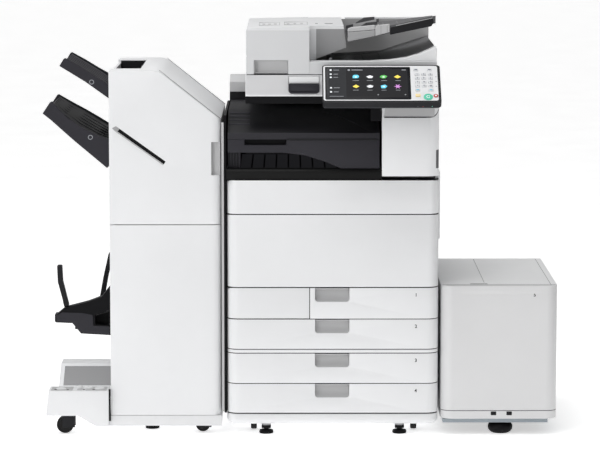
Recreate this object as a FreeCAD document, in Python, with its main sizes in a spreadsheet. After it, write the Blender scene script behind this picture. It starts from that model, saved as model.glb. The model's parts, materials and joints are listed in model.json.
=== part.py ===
import FreeCAD, Part
import os
import Sketcher

# A floor-standing office copier: main body with four paper drawers, a reader with a
# document feeder and a tilting touch panel, a finisher with output trays on the left
# and a side paper deck on the right.  Millimetres; X runs right, Y to the back, Z up.
# The origin is on the floor, in the middle of the footprint.

os.makedirs("parts", exist_ok=True)
doc = FreeCAD.newDocument("copier")
vec = FreeCAD.Vector

# ---------------------------------------------------------------- driving dimensions

DIMENSIONS = {
    # whole machine
    "half_width": 755, "front_y": -242, "body_depth": 620,
    "skin": 5, "sheet_steel": 3, "seam": 2.4, "corner_radius": 36,
    "clearance": 0.6, "hinge_round": 2.5,
    # main body, levels of the seams between its front covers
    "main_left": -214, "main_right": 406, "front_thick": 38,
    "base_bottom": 29, "base_top": 63.6, "base_wall": 20, "base_corner": 18,
    "drawer4_top": 152, "drawer3_top": 242, "strip_top": 253.5, "drawer2_top": 343,
    "drawer1_top": 436, "door_top": 651, "toner_top": 752, "waste_right": 28.7,
    "bay_bottom": 753, "bay_right": 239, "bay_rear": 530, "cover_bottom": 763,
    "cover_top": 992, "shelf_z": 438, "side_front": 40, "side_rear": 606,
    # paper drawers
    "grip_left": 44.5, "grip_right": 145, "grip_height": 41, "grip_deep": 26, "grip_round": 9,
    "cassette_rear": 560, "cassette_wall": 4, "cassette_inset": 16, "small_cassette_left": 40,
    # floor supports
    "foot_radius": 20, "foot_high": 9, "stem_radius": 7, "collar_radius": 14,
    "foot_left": -98.8, "foot_right": 293.6, "foot_front": 30, "foot_rear": 585,
    "caster_radius": 24, "caster_wide": 18, "caster_left": -136, "caster_right": 336.7,
    "caster_front": 88, "caster_rear": 532, "fork_gap": 2.5, "fork_thick": 3, "fork_back": 1.5, "fork_nose": 7, "wheel_lift": 1,
    # exit bay and bridge
    "lip_front": 4, "lip_top": 784, "lip_round": 12, "bay_floor": 776,
    "bridge_front": 12, "bridge_right": 232, "bridge_low": 831, "bridge_foot": 784.6,
    "bridge_seam": 869, "bridge_top": 888, "bridge_crest": 946, "lid_gap": 14, "slope_depth": 130,
    "slot_left": -161, "slot_right": -39, "slot_high": 16, "slot_deep": 18,
    "post_right": -173, "pillar_right": -155, "pillar_top": 969,
    # reader
    "reader_left": -158, "reader_right": 400, "reader_front": 15, "reader_rear": 600,
    "reader_bottom": 995, "reader_top": 1057, "reader_base": 985, "cavity_inset": 28,
    "glass_front": 60, "glass_rear": 480, "glass_thick": 4,
    "carriage_wide": 50, "carriage_high": 36,
    "port_left": -33, "port_right": 57, "port_bottom": 1007, "port_top": 1054, "port_deep": 24,
    # document feeder
    "feeder_left": -156, "feeder_right": 398, "feeder_bottom": 1059, "feeder_rear": 585,
    "feeder_ledge": 1096, "feeder_top": 1196, "feeder_block": 28, "hood_right": 136,
    "hood_front": 90, "hood_bottom": 1113, "hood_end": 1132, "hood_low": 1097, "tray_well_rear": 550,
    "well_left": 50, "well_floor": 1070, "rail_front": 80,
    "lift_left": -133, "lift_right": -34, "lift_deep": 16, "lift_barrel": 6,
    "lift_hinge_y": 592, "lift_hinge_z": 1060, "cover_round": 6,
    "doc_left": 144, "doc_right": 396, "doc_low": 1150, "doc_high": 1204, "doc_thick": 12,
    "doc_front": 70, "doc_rear": 545, "doc_rim": 10, "doc_taper": 236, "doc_taper_rear": 280,
    "guide_long": 70, "guide_high": 14, "guide_thick": 8, "guide_front": 165,
    "guide_rear": 448, "roller_radius": 11,
    # control panel: a slab tilted back about X
    "panel_left": 66, "panel_right": 402, "panel_long": 163, "panel_thick": 21,
    "panel_tilt": 36.5, "panel_y": -123.5, "panel_z": 972.1,
    "screen_left": 75, "screen_right": 316, "screen_low": 13, "screen_high": 154,
    "screen_thick": 2.2, "key_size": 12, "key_high": 10, "key_rise": 1.6,
    "keypad_x": 338, "keypad_step": 19, "keypad_y": 123, "keypad_row": 17,
    "start_x": 367, "start_y": 24, "start_radius": 13, "stop_x": 389, "stop_y": 29,
    "hinge_y": -2, "hinge_z": 1058, "hinge_radius": 6,
    "groove_y": 148.8, "groove_z": -3.2, "arm_left": 120, "arm_right": 350,
    # engine
    "bottle_radius": 36, "bottle_step": 110, "bottle_x": -140, "bottle_z": 697,
    "bottle_front": 60, "bottle_rear": 420, "drum_radius": 15, "drum_z": 585,
    # right side
    "right_door_bottom": 446, "right_door_top": 984, "door_plate": 9, "right_pin_x": 402, "right_pin_y": 600,
    "bypass_front": 150, "bypass_rear": 470, "bypass_low": 560, "bypass_high": 760,
    "bypass_thick": 9,
    # finisher
    "fin_left": -555, "fin_right": -230, "fin_front": 10, "fin_bottom": 55, "fin_top": 1069,
    "fin_shoulder": 926, "fin_slope_x": -411, "fin_seam": 620, "fin_door": 30,
    "fin_wall": 8, "fin_edge": 28, "plinth_bottom": 24.5, "crown_left": -467,
    "crown_front": 120, "crown_rear": 513,
    "door_pin_x": -547, "door_pin_y": 18, "door_pin": 3.4, "door_pin_long": 12,
    "exit_high": 16, "exit_upper": 1024, "exit_lower": 876, "exit_booklet": 436,
    "plinth_roof": 4,
    "notch_left": -258, "notch_low": 765, "notch_high": 862, "notch_deep": 14,
    "tray_front": 100, "tray_rear": 385, "tray_gap": 2,
    "tub_left": -745, "tub_right": -561, "tub_front": -8, "tub_rear": 564, "tub_low": 57.5,
    "tub_top": 130.5, "tub_wall": 10, "tub_step": 26.8, "leg_deep": 83,
    "fin_wheel": 25, "small_wheel": 21, "fin_wheel_x": -691, "fin_wheel_x2": -286, "fin_wheel_wide": 26,
    "fin_wheel_front": 30, "fin_wheel_rear": 522, "fin_foot_x": -438, "fin_foot_y": 108,
    # booklet tray
    "booklet_front": 60, "booklet_rear": 430, "cheek_thick": 40, "far_stop_front": 376,
    "far_stop_rear": 394,
    "arm_wide": 26,
    # side paper deck
    "deck_left": 414, "deck_top": 440, "deck_bottom": 34, "deck_band": 45,
    "deck_front_thick": 38, "deck_rear": 612, "deck_wall": 8,
    "deck_foot_x": 591.5, "deck_foot_y": 41, "deck_foot_radius": 25,
}

sheet = doc.addObject("Spreadsheet::Sheet", "dims")
for row, (alias, number) in enumerate(DIMENSIONS.items(), 1):
    sheet.set(f"A{row}", str(number))
    sheet.setAlias(f"A{row}", alias)
doc.recompute()


class Size:
    """A length with its value now and the sheet expression that it comes from."""

    def __init__(self, value, text):
        self.value = value
        self.text = text

    def joined(self, sign, other, value):
        return Size(value, f"({self.text} {sign} {size(other).text})")

    def __add__(self, other):
        return self.joined("+", other, self.value + size(other).value)

    def __sub__(self, other):
        return self.joined("-", other, self.value - size(other).value)

    def __mul__(self, other):
        return self.joined("*", other, self.value * size(other).value)

    def __truediv__(self, other):
        return self.joined("/", other, self.value / size(other).value)

    def __neg__(self):
        return size(0) - self


def size(number):
    return number if isinstance(number, Size) else Size(float(number), f"{float(number)}")


class Sheet:
    """Each alias of the sheet as a Size."""

    def __getattr__(self, alias):
        return Size(float(DIMENSIONS[alias]), f"dims.{alias}")


d = Sheet()
nodes = {}


def bind(piece, property_name, amount):
    piece.setExpression(property_name, size(amount).text)


def depth(amount):
    """The Y of a point that lies this far behind the main body's front."""
    return d.front_y + amount


def keep(name, piece):
    """Makes a finished object the sub-part of that name."""
    piece.Label = name
    nodes[name] = piece
    return piece


# ---------------------------------------------------------------- shape helpers

def block(x, y, z):
    """A box between two values along X, along Y and along Z."""
    piece = doc.addObject("Part::Box", "block")
    for side, axis, (low, high) in (("Length", "x", x), ("Width", "y", y), ("Height", "z", z)):
        bind(piece, side, size(high) - low)
        bind(piece, f"Placement.Base.{axis}", low)
    return piece


TURNS = {"X": FreeCAD.Rotation(vec(0, 1, 0), 90), "Y": FreeCAD.Rotation(vec(1, 0, 0), -90),
         "Z": FreeCAD.Rotation()}


def rod(axis, start, radius, length):
    """A cylinder that runs from its start point along X, Y or Z."""
    piece = doc.addObject("Part::Cylinder", "rod")
    piece.Placement = FreeCAD.Placement(vec(), TURNS[axis])
    bind(piece, "Radius", radius)
    bind(piece, "Height", length)
    for letter, amount in zip("xyz", start):
        bind(piece, f"Placement.Base.{letter}", amount)
    return piece


def fuse(*pieces):
    joined = doc.addObject("Part::MultiFuse", "joined")
    joined.Shapes = list(pieces)
    joined.Refine = True
    return joined


def group(*pieces):
    """Separate solids that share one sub-part."""
    together = doc.addObject("Part::Compound", "group")
    together.Links = list(pieces)
    return together


def cut(base, *tools):
    result = doc.addObject("Part::Cut", "cut")
    result.Base = base
    result.Tool = fuse(*tools) if len(tools) > 1 else tools[0]
    return result


def role_plane(body, role):
    return next(f for f in body.Origin.OriginFeatures if f.Role == role)


OUTWARD = {"XZ": "y", "YZ": "x", "XY": "z"}


def profile(plane, points, span, rounds=()):
    """A body padded from an outline.  rounds holds (edge test, radius) pairs."""
    body = doc.addObject("PartDesign::Body", "body")
    sketch = body.newObject("Sketcher::SketchObject", "outline")
    sketch.AttachmentSupport = [(role_plane(body, f"{plane}_Plane"), "")]
    sketch.MapMode = "FlatFace"
    ends = [(size(a), size(b)) for a, b in points]
    spots = [vec(a.value, b.value, 0) for a, b in ends]
    for i, spot in enumerate(spots):
        sketch.addGeometry(Part.LineSegment(spot, spots[(i + 1) % len(spots)]), False)
    for i in range(len(spots)):
        sketch.addConstraint(Sketcher.Constraint("Coincident", i, 2, (i + 1) % len(spots), 1))
    for i, pair in enumerate(ends):
        for kind, amount in zip(("DistanceX", "DistanceY"), pair):
            which = sketch.addConstraint(Sketcher.Constraint(kind, -1, 1, i, 1, amount.value))
            bind(sketch, f"Constraints[{which}]", amount)
    pad = body.newObject("PartDesign::Pad", "pad")
    pad.Profile = sketch
    bind(pad, "Length", size(span[1]) - span[0])
    pad.Reversed = plane == "XZ"
    bind(body, f"Placement.Base.{OUTWARD[plane]}", span[0])
    body.Tip = pad
    for test, radius in rounds:
        round_edge(body, test, radius)
    return body


def round_edge(body, test, radius):
    """One more rounding on a finished body, over the edges that pass the test."""
    doc.recompute()
    last = body.Tip
    names = [f"Edge{i}" for i, edge in enumerate(last.Shape.Edges, 1) if test(edge)]
    fillet = body.newObject("PartDesign::Fillet", "fillet")
    fillet.Base = (last, names)
    bind(fillet, "Radius", radius)
    body.Tip = fillet


def along(axis, **where):
    """A test for straight edges along an axis, at the given other coordinates."""
    number = "xyz".index(axis)

    def test(edge):
        if len(edge.Vertexes) != 2:
            return False
        first, second = (v.Point for v in edge.Vertexes)
        run = second - first
        if abs(run[number]) < 0.999 * run.Length or edge.Curve.TypeId != "Part::GeomLine":
            return False
        return all(abs(first["xyz".index(k)] - size(v).value) < 0.01 for k, v in where.items())
    return test


def either(*tests):
    return lambda edge: any(test(edge) for test in tests)


def rectangle(x, y):
    return [(x[0], y[0]), (x[1], y[0]), (x[1], y[1]), (x[0], y[1])]


def front_cover(x, z, left_round, right_round):
    """A cover on the main body's front, rounded where it turns the body's corner."""
    gap = d.seam / 2
    low, high = size(x[0]) + (0 if left_round else gap), size(x[1]) - (0 if right_round else gap)
    corners = [along("z", x=side, y=d.front_y)
               for side, turn in ((low, left_round), (high, right_round)) if turn]
    edges = [(either(*corners), d.corner_radius)] if corners else []
    return profile("XY", rectangle((low, high), (d.front_y, depth(d.front_thick))),
                   (size(z[0]) + gap, size(z[1]) - gap), edges)


# ---------------------------------------------------------------- base and floor supports

def base_frame():
    x, y = (d.main_left, d.main_right), (depth(2), depth(616))
    shell = profile("XY", rectangle(x, y), (d.base_bottom, d.base_top - d.seam),
                    [(either(along("z", x=x[0], y=y[0]), along("z", x=x[1], y=y[0])),
                      d.corner_radius - 2),
                     (along("x", y=y[0], z=0), d.base_corner)])
    hollow = block((x[0] + d.base_wall, x[1] - d.base_wall),
                   (y[0] + d.base_wall, y[1] - d.base_wall),
                   (d.base_bottom - 1, d.base_top - 7))
    keep("base_frame", cut(shell, hollow))


def foot(x, y, top):
    """A levelling foot: pad, threaded stem and lock collar."""
    pad = rod("Z", (x, y, 0), d.foot_radius, d.foot_high)
    stem = rod("Z", (x, y, 0), d.stem_radius, top)
    collar = rod("Z", (x, y, d.foot_high + 6), d.collar_radius, 8)
    return fuse(pad, stem, collar)


def adjuster_feet():
    main = [foot(x, depth(y), d.base_top - 7)
            for x in (d.foot_left, d.foot_right) for y in (d.foot_front, d.foot_rear)]
    finisher = [foot(d.fin_foot_x, depth(y), d.fin_bottom - d.plinth_roof)
                for y in (d.fin_foot_y, d.body_depth - d.fin_foot_y)]
    keep("adjuster_feet", group(*main, *finisher))


def fork(x, y, top, radius, wide, turned):
    """A caster's bracket: two cheeks beside the wheel and the web that joins them behind it."""
    half, back, axle_z = wide / 2 + d.fork_gap, radius + d.fork_back, radius + d.wheel_lift
    out = half + d.fork_thick

    def part(across, lengthways, z):
        spans = (lengthways, across) if turned else (across, lengthways)
        return block((x + spans[0][0], x + spans[0][1]), (y + spans[1][0], y + spans[1][1]), z)

    web = part((-out, out), (back, back + d.fork_thick), (axle_z, top))
    cheeks = [part(side, (-d.fork_nose, back + d.fork_thick), (axle_z - d.fork_nose, top))
              for side in ((-out, -half), (half, out))]
    return fuse(web, *cheeks)


def caster_sets():
    """Name, X places, Y places, top, radius, width and turned, for each set of casters."""
    main_x, top = (d.caster_left, d.caster_right), d.base_top - 7
    near, far = d.fin_wheel_front, d.fin_wheel_rear
    return (("front_caster_wheels", main_x, (d.caster_front,), top,
             d.caster_radius, d.caster_wide, False),
            ("rear_caster_wheels", main_x, (d.caster_rear,), top,
             d.caster_radius, d.caster_wide, False),
            ("finisher_wheels_left", (d.fin_wheel_x,), (near, far), d.tub_low,
             d.fin_wheel, d.fin_wheel_wide, True),
            ("finisher_wheels_right", (d.fin_wheel_x2,), (near + 25, far + 23),
             d.fin_bottom - d.plinth_roof, d.small_wheel, d.fin_wheel_wide, True))


def casters():
    forks = []
    for name, places, depths, top, radius, wide, turned in caster_sets():
        wheels = []
        for x in places:
            for y in depths:
                axle_z = radius + d.wheel_lift
                start = ((x, depth(y) - wide / 2, axle_z) if turned
                         else (x - wide / 2, depth(y), axle_z))
                wheels.append(rod("Y" if turned else "X", start, radius, wide))
                forks.append(fork(x, depth(y), top, radius, wide, turned))
        keep(name, group(*wheels))
    keep("caster_forks", group(*forks))


# ---------------------------------------------------------------- main body

def main_frame():
    left, right = d.main_left + d.skin + 1, d.main_right - d.skin - 5
    y = (depth(d.side_front), depth(d.side_rear))
    z = (d.base_top - d.seam, d.toner_top - 5)
    plates = [
        block((left, left + d.sheet_steel), y, z),
        block((right - d.sheet_steel, right), y, z),
        block((left, right), (y[1] - d.sheet_steel, y[1]), z),
        block((left, right), y, (z[0], z[0] + d.sheet_steel)),
        block((left, right), y, (d.shelf_z, d.shelf_z + d.sheet_steel)),
        block((left, right), y, (z[1] - d.sheet_steel, z[1])),
    ]
    keep("main_frame", fuse(*plates))


def side_and_rear_covers():
    y = (depth(d.side_front), depth(d.side_rear + 1))
    z = (d.base_top, d.toner_top)
    keep("left_cover", block((d.main_left, d.main_left + d.skin), y, z))
    keep("right_lower_cover", block((d.main_right - d.skin, d.main_right), y,
                                    (d.base_top, d.right_door_bottom - 3)))
    keep("rear_cover", block((d.main_left, d.main_right), (depth(d.side_rear + 2), depth(d.body_depth)),
                             (d.base_top, d.reader_bottom - 8)))
    keep("trim_strip", front_cover((d.main_left, d.main_right),
                                   (d.drawer3_top, d.strip_top), True, True))


def hollow_cover(name, x, z, left_round, right_round):
    """A drop-down front cover: a pan, open to the back, eased where its top swings out."""
    outer = front_cover(x, z, left_round, right_round)
    round_edge(outer, along("x", y=d.front_y, z=0), d.hinge_round)
    rim = d.skin + 2
    sides = (size(x[0]) + rim, size(x[1]) - rim)
    corners = [along("z", x=side, y=depth(d.skin))
               for side, turn in zip(sides, (left_round, right_round)) if turn]
    top = size(z[1]) - d.seam / 2
    drop = d.front_thick * d.front_thick / ((top - z[0]) * 2) + 1
    pan = profile("XY", rectangle(sides, (depth(d.skin), depth(d.front_thick + 1))),
                  (size(z[0]) + rim, top - rim - drop),
                  [(either(*corners), d.corner_radius - rim)])
    relief = profile("YZ", [(depth(d.skin), top), (depth(d.front_thick + 1), top - drop),
                            (depth(d.front_thick + 1), top + 1), (depth(d.skin), top + 1)],
                     (size(x[0]) - 1, size(x[1]) + 1))
    keep(name, cut(outer, pan, relief))


def front_doors():
    whole = (d.main_left, d.main_right)
    hollow_cover("front_door", whole, (d.drawer1_top, d.door_top), True, True)
    hollow_cover("toner_cover", whole, (d.door_top, d.toner_top), True, True)
    hollow_cover("waste_toner_cover", (d.main_left, d.waste_right),
                 (d.drawer2_top, d.drawer1_top), True, False)


def drawers():
    levels = {1: (d.drawer2_top, d.drawer1_top), 2: (d.strip_top, d.drawer2_top),
              3: (d.drawer4_top, d.drawer3_top), 4: (d.base_top, d.drawer4_top)}
    for number, (low, high) in levels.items():
        small = number == 1
        left = d.waste_right if small else d.main_left
        front = front_cover((left, d.main_right), (low, high), not small, True)
        bottom = high - d.seam / 2 - d.grip_height
        grip = profile("XZ", rectangle((d.grip_left, d.grip_right), (bottom, high + 5)),
                       (depth(-1), depth(d.grip_deep)),
                       [(either(along("y", x=d.grip_left, z=bottom),
                                along("y", x=d.grip_right, z=bottom)), d.grip_round)])
        keep(f"drawer_front_{number}", cut(front, grip))
        inner_left = d.small_cassette_left if small else d.main_left + d.cassette_inset
        x = (inner_left, d.main_right - d.cassette_inset - 3)
        y = (depth(d.front_thick), depth(d.cassette_rear))
        z = (low + 8, high - 14)
        wall = d.cassette_wall
        outer = block(x, y, z)
        inside = block((x[0] + wall, x[1] - wall), (y[0] + wall, y[1] - wall), (z[0] + wall, z[1] + 1))
        keep(f"cassette_{number}", cut(outer, inside))


def engine():
    bottles = []
    for i in range(4):
        x = d.bottle_x + d.bottle_step * i
        bottle = rod("Y", (x, depth(d.bottle_front), d.bottle_z), d.bottle_radius,
                     d.bottle_rear - d.bottle_front)
        cap = rod("Y", (x, depth(d.bottle_rear), d.bottle_z), d.bottle_radius / 2, 14)
        bottles.append(fuse(bottle, cap))
    keep("toner_bottles", group(*bottles))
    units = []
    for i in range(4):
        x = d.bottle_x + d.bottle_step * i
        drum = rod("Y", (x, depth(60), d.drum_z), d.drum_radius, 400)
        case = block((x - 40, x + 40), (depth(70), depth(450)), (d.drum_z - 62, d.drum_z - 8))
        units.append(fuse(drum, case))
    belt = block((d.bottle_x - 45, d.bottle_x + 375), (depth(70), depth(450)),
                 (d.drum_z + 17, d.drum_z + 52))
    fuser = block((d.bay_right + 60, d.main_right - 30), (depth(80), depth(480)),
                  (d.door_top + 10, d.toner_top - 20))
    keep("imaging_unit", group(*units, belt, fuser))


# ---------------------------------------------------------------- exit bay

def exit_bay():
    y0 = depth(d.lip_front)
    outline = [(y0, d.bay_bottom), (depth(d.bay_rear), d.bay_bottom),
               (depth(d.bay_rear), d.bay_floor), (depth(60), d.bay_floor),
               (depth(44), d.lip_top), (y0, d.lip_top)]
    keep("exit_tray", profile("YZ", outline, (d.main_left, d.bay_right),
                              [(along("x", y=y0, z=d.lip_top), d.lip_round)]))
    rear = (depth(d.bay_rear), depth(d.side_rear + 1))
    column = fuse(block((d.main_left, d.bay_right), rear, (d.bay_bottom, d.pillar_top)),
                  block((d.pillar_right, d.bay_right), rear, (d.pillar_top, d.reader_base)))
    cap = profile("YZ", [(rear[0], d.pillar_top), (rear[1], d.pillar_top),
                         (rear[1], d.pillar_top + 50), (rear[0], d.pillar_top + 31)],
                  (d.main_left, d.reader_left - 3))
    keep("rear_column", fuse(column, cap))
    x = (d.bay_right, d.main_right - d.door_plate - 1)
    y = (depth(d.side_front), depth(d.side_rear + 1))
    z = (d.bay_bottom, d.reader_base)
    steel = d.sheet_steel
    keep("right_tower", cut(block(x, y, z),
                            block((x[0] + steel, x[1] + 1), (y[0] + steel, y[1] - steel),
                                  (z[0] + steel, z[1] - steel))))


def right_front_cover():
    x = (d.bay_right, d.main_right)
    y = (d.front_y, depth(d.side_front))
    body = profile("XY", rectangle(x, y), (d.cover_bottom, d.cover_top),
                   [(along("z", x=x[1], y=y[0]), d.corner_radius)])
    strip = block((x[0] + 6, x[1] - 12), (depth(-1), depth(1.5)),
                  (d.cover_top - 58, d.cover_top - 29))
    grip = block((x[1] - 5, x[1] + 1), (depth(30), depth(d.side_front + 1)),
                 (d.cover_bottom + 20, d.cover_bottom + 78))
    ledge = block((x[0] - 1, x[1] + 1), (depth(d.reader_front) + 7, y[1] + 1),
                  (d.reader_base - d.clearance, d.cover_top + 1))
    keep("right_front_cover", cut(body, strip, grip, ledge))


def bridge():
    y = (depth(d.bridge_front), depth(d.bay_rear - 2))
    left = d.main_left + 4
    outline = [(left, d.bridge_low), (-50, d.bridge_low), (15, d.bridge_low - 8),
               (75, d.bridge_low - 27), (120, d.bridge_foot), (d.bridge_right, d.bridge_foot),
               (d.bridge_right, d.bridge_seam), (left, d.bridge_seam)]
    deck = profile("XZ", outline, y)
    slot = block((d.slot_left, d.slot_right), (depth(d.bridge_front - 1), depth(d.bridge_front) + d.slot_deep),
                 (d.bridge_seam - d.slot_high, d.bridge_seam + 1))
    post = block((left, d.post_right), (y[0] + 20, y[0] + 60), (d.lip_top, d.bridge_low + 2))
    keep("bridge_unit", fuse(cut(deck, slot), post))
    low, top = d.bridge_seam + d.clearance, d.bridge_crest
    y = (y[0], depth(d.bay_rear) - d.lid_gap)
    guide = [(y[0], low), (y[1], low), (y[1], top), (y[0] + d.slope_depth, top), (y[0], d.bridge_top)]
    lid = profile("YZ", guide, (left, d.bridge_right),
                  [(along("x", y=y[1], z=low), d.hinge_round)])
    hollow = block((left + d.skin, d.bridge_right - d.skin),
                   (y[0] + d.slope_depth, y[1] - d.skin), (low - 1, top - d.skin))
    keep("bridge_lid", cut(lid, hollow))


# ---------------------------------------------------------------- right side

def right_side():
    x = (d.main_right - d.door_plate, d.main_right)
    y = (depth(d.side_front + 4), depth(d.side_rear - 3))
    pin = rod("Z", (d.right_pin_x, depth(d.right_pin_y), d.right_door_bottom - 2),
              d.hinge_round, d.right_door_top - d.right_door_bottom + 2)
    keep("right_door", fuse(block(x, y, (d.right_door_bottom, d.right_door_top)), pin))
    x = (d.main_right + d.clearance, d.main_right + d.clearance + d.bypass_thick)
    y = (depth(d.bypass_front), depth(d.bypass_rear))
    barrel = rod("Y", ((x[0] + x[1]) / 2, y[0], d.bypass_low + d.bypass_thick / 2),
                 d.bypass_thick / 2, y[1] - y[0])
    plate = block(x, y, (d.bypass_low + d.bypass_thick / 2, d.bypass_high))
    keep("bypass_tray", fuse(plate, barrel))


# ---------------------------------------------------------------- reader

def reader():
    x = (d.reader_left, d.reader_right)
    y = (depth(d.reader_front), depth(d.reader_rear))
    case = profile("XY", rectangle(x, y), (d.reader_base, d.reader_top),
                   [(either(along("z", x=x[0], y=y[0]), along("z", x=x[1], y=y[0])), 4)])
    chin = block((x[0] - 1, x[1] + 1), (y[0] - 1, y[0] + 8), (d.reader_base - 1, d.reader_bottom))
    glass_x = (x[0] + d.cavity_inset, x[1] - d.cavity_inset)
    glass_y = (depth(d.glass_front), depth(d.glass_rear))
    cavity = block(glass_x, glass_y, (d.reader_bottom + 8, d.reader_top + 1))
    pocket = block((d.port_left, d.port_right), (y[0] - 1, y[0] + d.port_deep),
                   (d.port_bottom, d.port_top))
    barrels = [rod("X", (left, depth(d.lift_hinge_y), d.lift_hinge_z), d.lift_barrel, 60)
               for left in (-110, 290)]
    keep("reader_housing", fuse(cut(case, chin, cavity, pocket), *barrels))
    keep("platen_glass", block(glass_x, glass_y, (d.reader_top - d.glass_thick - 0.5,
                                                  d.reader_top - 0.5)))
    start = glass_x[0] + 10
    keep("scan_carriage", block((start, start + d.carriage_wide), (glass_y[0] + 5, glass_y[1] - 5),
                                (d.reader_bottom + 9, d.reader_bottom + 9 + d.carriage_high)))
    cup = block((d.port_left + 2, d.port_right - 2), (y[0] + 8, y[0] + d.port_deep),
                (d.port_bottom, d.port_top))
    lip = profile("YZ", [(y[0] - 7, d.port_bottom + 6), (y[0] - 4, d.port_bottom),
                         (y[0] + 8, d.port_bottom), (y[0] + 8, d.port_bottom + 26),
                         (y[0] - 7, d.port_bottom + 26)],
                  (d.port_left + 2, d.port_right - 2))
    keep("utility_port", fuse(cup, lip))


# ---------------------------------------------------------------- document feeder

def feeder():
    y = (depth(d.reader_front), depth(d.feeder_rear))
    low = d.feeder_bottom
    slab = block((d.feeder_left, d.feeder_right), y, (low, d.feeder_ledge))
    shaft = block((d.feeder_left, d.feeder_block), y, (d.feeder_ledge, d.hood_bottom - 3))
    lift = block((d.lift_left, d.lift_right), (y[0] - 1, y[0] + d.lift_deep),
                 (low - 1, d.feeder_ledge + 4))
    well = profile("XZ", [(d.well_left, d.well_floor), (d.feeder_right - 130, d.well_floor + 8),
                          (d.feeder_right - 8, d.feeder_ledge - 3), (d.feeder_right - 8, d.feeder_ledge + 5),
                          (d.well_left, d.feeder_ledge + 5)],
                   (depth(d.rail_front), depth(d.tray_well_rear)))
    wedge = profile("XZ", [(300, d.feeder_ledge), (d.feeder_right, d.feeder_ledge),
                           (d.feeder_right, d.feeder_ledge + 38), (385, d.feeder_ledge + 38)],
                    (y[0] + 20, depth(d.rail_front)))
    rear = block((d.hood_right + 4, d.feeder_right), (depth(d.tray_well_rear), y[1]),
                 (d.feeder_ledge, d.feeder_top))
    inner_x = (d.feeder_left + 8, d.feeder_block - 8)
    inner_y = (y[0] + d.lift_deep + 6, y[1] - 8)
    path = block(inner_x, inner_y, (low + 7, d.hood_bottom))
    keep("feeder_base", fuse(cut(fuse(slab, shaft), lift, well, path), wedge, rear))

    gap = d.clearance
    block_part = profile("XZ", [(d.feeder_left, d.hood_bottom - 3 + gap), (d.feeder_block, d.hood_bottom - 3 + gap),
                                (d.feeder_block, d.feeder_top), (d.feeder_left, d.feeder_top - 4)],
                         y, [(either(along("y", x=d.feeder_left, z=d.feeder_top - 4),
                                     along("y", x=d.feeder_left, z=d.hood_bottom - 3 + gap)),
                              d.cover_round)])
    overhang = profile("XZ", [(d.feeder_block, d.hood_low), (d.feeder_block + 14, d.hood_low),
                              (d.hood_right, d.hood_end), (d.hood_right - 8, d.feeder_top),
                              (d.feeder_block, d.feeder_top)],
                       (depth(d.hood_front), depth(d.tray_well_rear + 10)))
    inside = block(inner_x, inner_y, (d.hood_bottom - 3, d.feeder_top - 9))
    keep("feeder_cover", cut(fuse(block_part, overhang), inside))

    rise = [(d.doc_left, d.doc_low), (d.doc_right, d.doc_high),
            (d.doc_right, d.doc_high + d.doc_thick), (d.doc_left, d.doc_low + d.doc_thick)]
    rim = [(d.doc_left, d.doc_low), (d.doc_right, d.doc_high),
           (d.doc_right, d.doc_high + d.doc_thick + d.doc_rim),
           (d.doc_left, d.doc_low + d.doc_thick + d.doc_rim)]
    plate = profile("XZ", rise, (depth(d.doc_front), depth(d.doc_rear)))
    rims = [profile("XZ", rim, (depth(d.doc_front) + start, depth(d.doc_front) + start + 14))
            for start in (0, d.doc_rear - d.doc_front - 14)]
    barrel = rod("Y", (d.doc_left + 4, depth(d.doc_front) - 3, d.doc_low + d.doc_thick / 2),
                 d.doc_thick / 2, d.doc_rear - d.doc_front + 6)
    corner = profile("XY", [(d.doc_taper, depth(d.doc_rear)), (d.doc_right + 1, depth(d.doc_taper_rear)),
                            (d.doc_right + 1, depth(d.doc_rear + 9)),
                            (d.doc_taper, depth(d.doc_rear + 9))],
                     (d.doc_low, d.doc_high + 40))
    keep("document_tray", cut(fuse(plate, barrel, *rims), corner))

    slope = (d.doc_high - d.doc_low) / (d.doc_right - d.doc_left)
    for name, at in (("front_guide", d.guide_front), ("rear_guide", d.guide_rear)):
        x = (d.doc_left + 20, d.doc_left + 20 + d.guide_long)
        base = d.doc_low + d.doc_thick + d.clearance
        sides = [(x[0], base + slope * 20), (x[1], base + slope * (d.guide_long + 20)),
                 (x[1], base + slope * (d.guide_long + 20) + d.guide_high),
                 (x[0], base + slope * 20 + d.guide_high)]
        keep(name, profile("XZ", sides, (depth(at), depth(at + d.guide_thick))))
    roller_z = d.hood_bottom - 14
    roller_x = d.well_left + 40
    shaft = rod("Y", (roller_x, depth(d.rail_front), roller_z), d.roller_radius / 3,
                d.tray_well_rear - d.rail_front)
    tyres = [rod("Y", (roller_x, depth(start), roller_z), d.roller_radius, 60) for start in (200, 380)]
    keep("feed_roller", fuse(shaft, *tyres))


# ---------------------------------------------------------------- control panel

PANEL_TURN = FreeCAD.Rotation(vec(1, 0, 0), DIMENSIONS["panel_tilt"])


def tilt(piece):
    """Lays a piece drawn flat, from the panel's low front corner, onto the tilted panel."""
    piece.Placement = FreeCAD.Placement(vec(), PANEL_TURN)
    bind(piece, "Placement.Base.y", depth(d.panel_y))
    bind(piece, "Placement.Base.z", d.panel_z)
    return piece


def tilted_group(*pieces):
    return tilt(group(*pieces))


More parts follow.
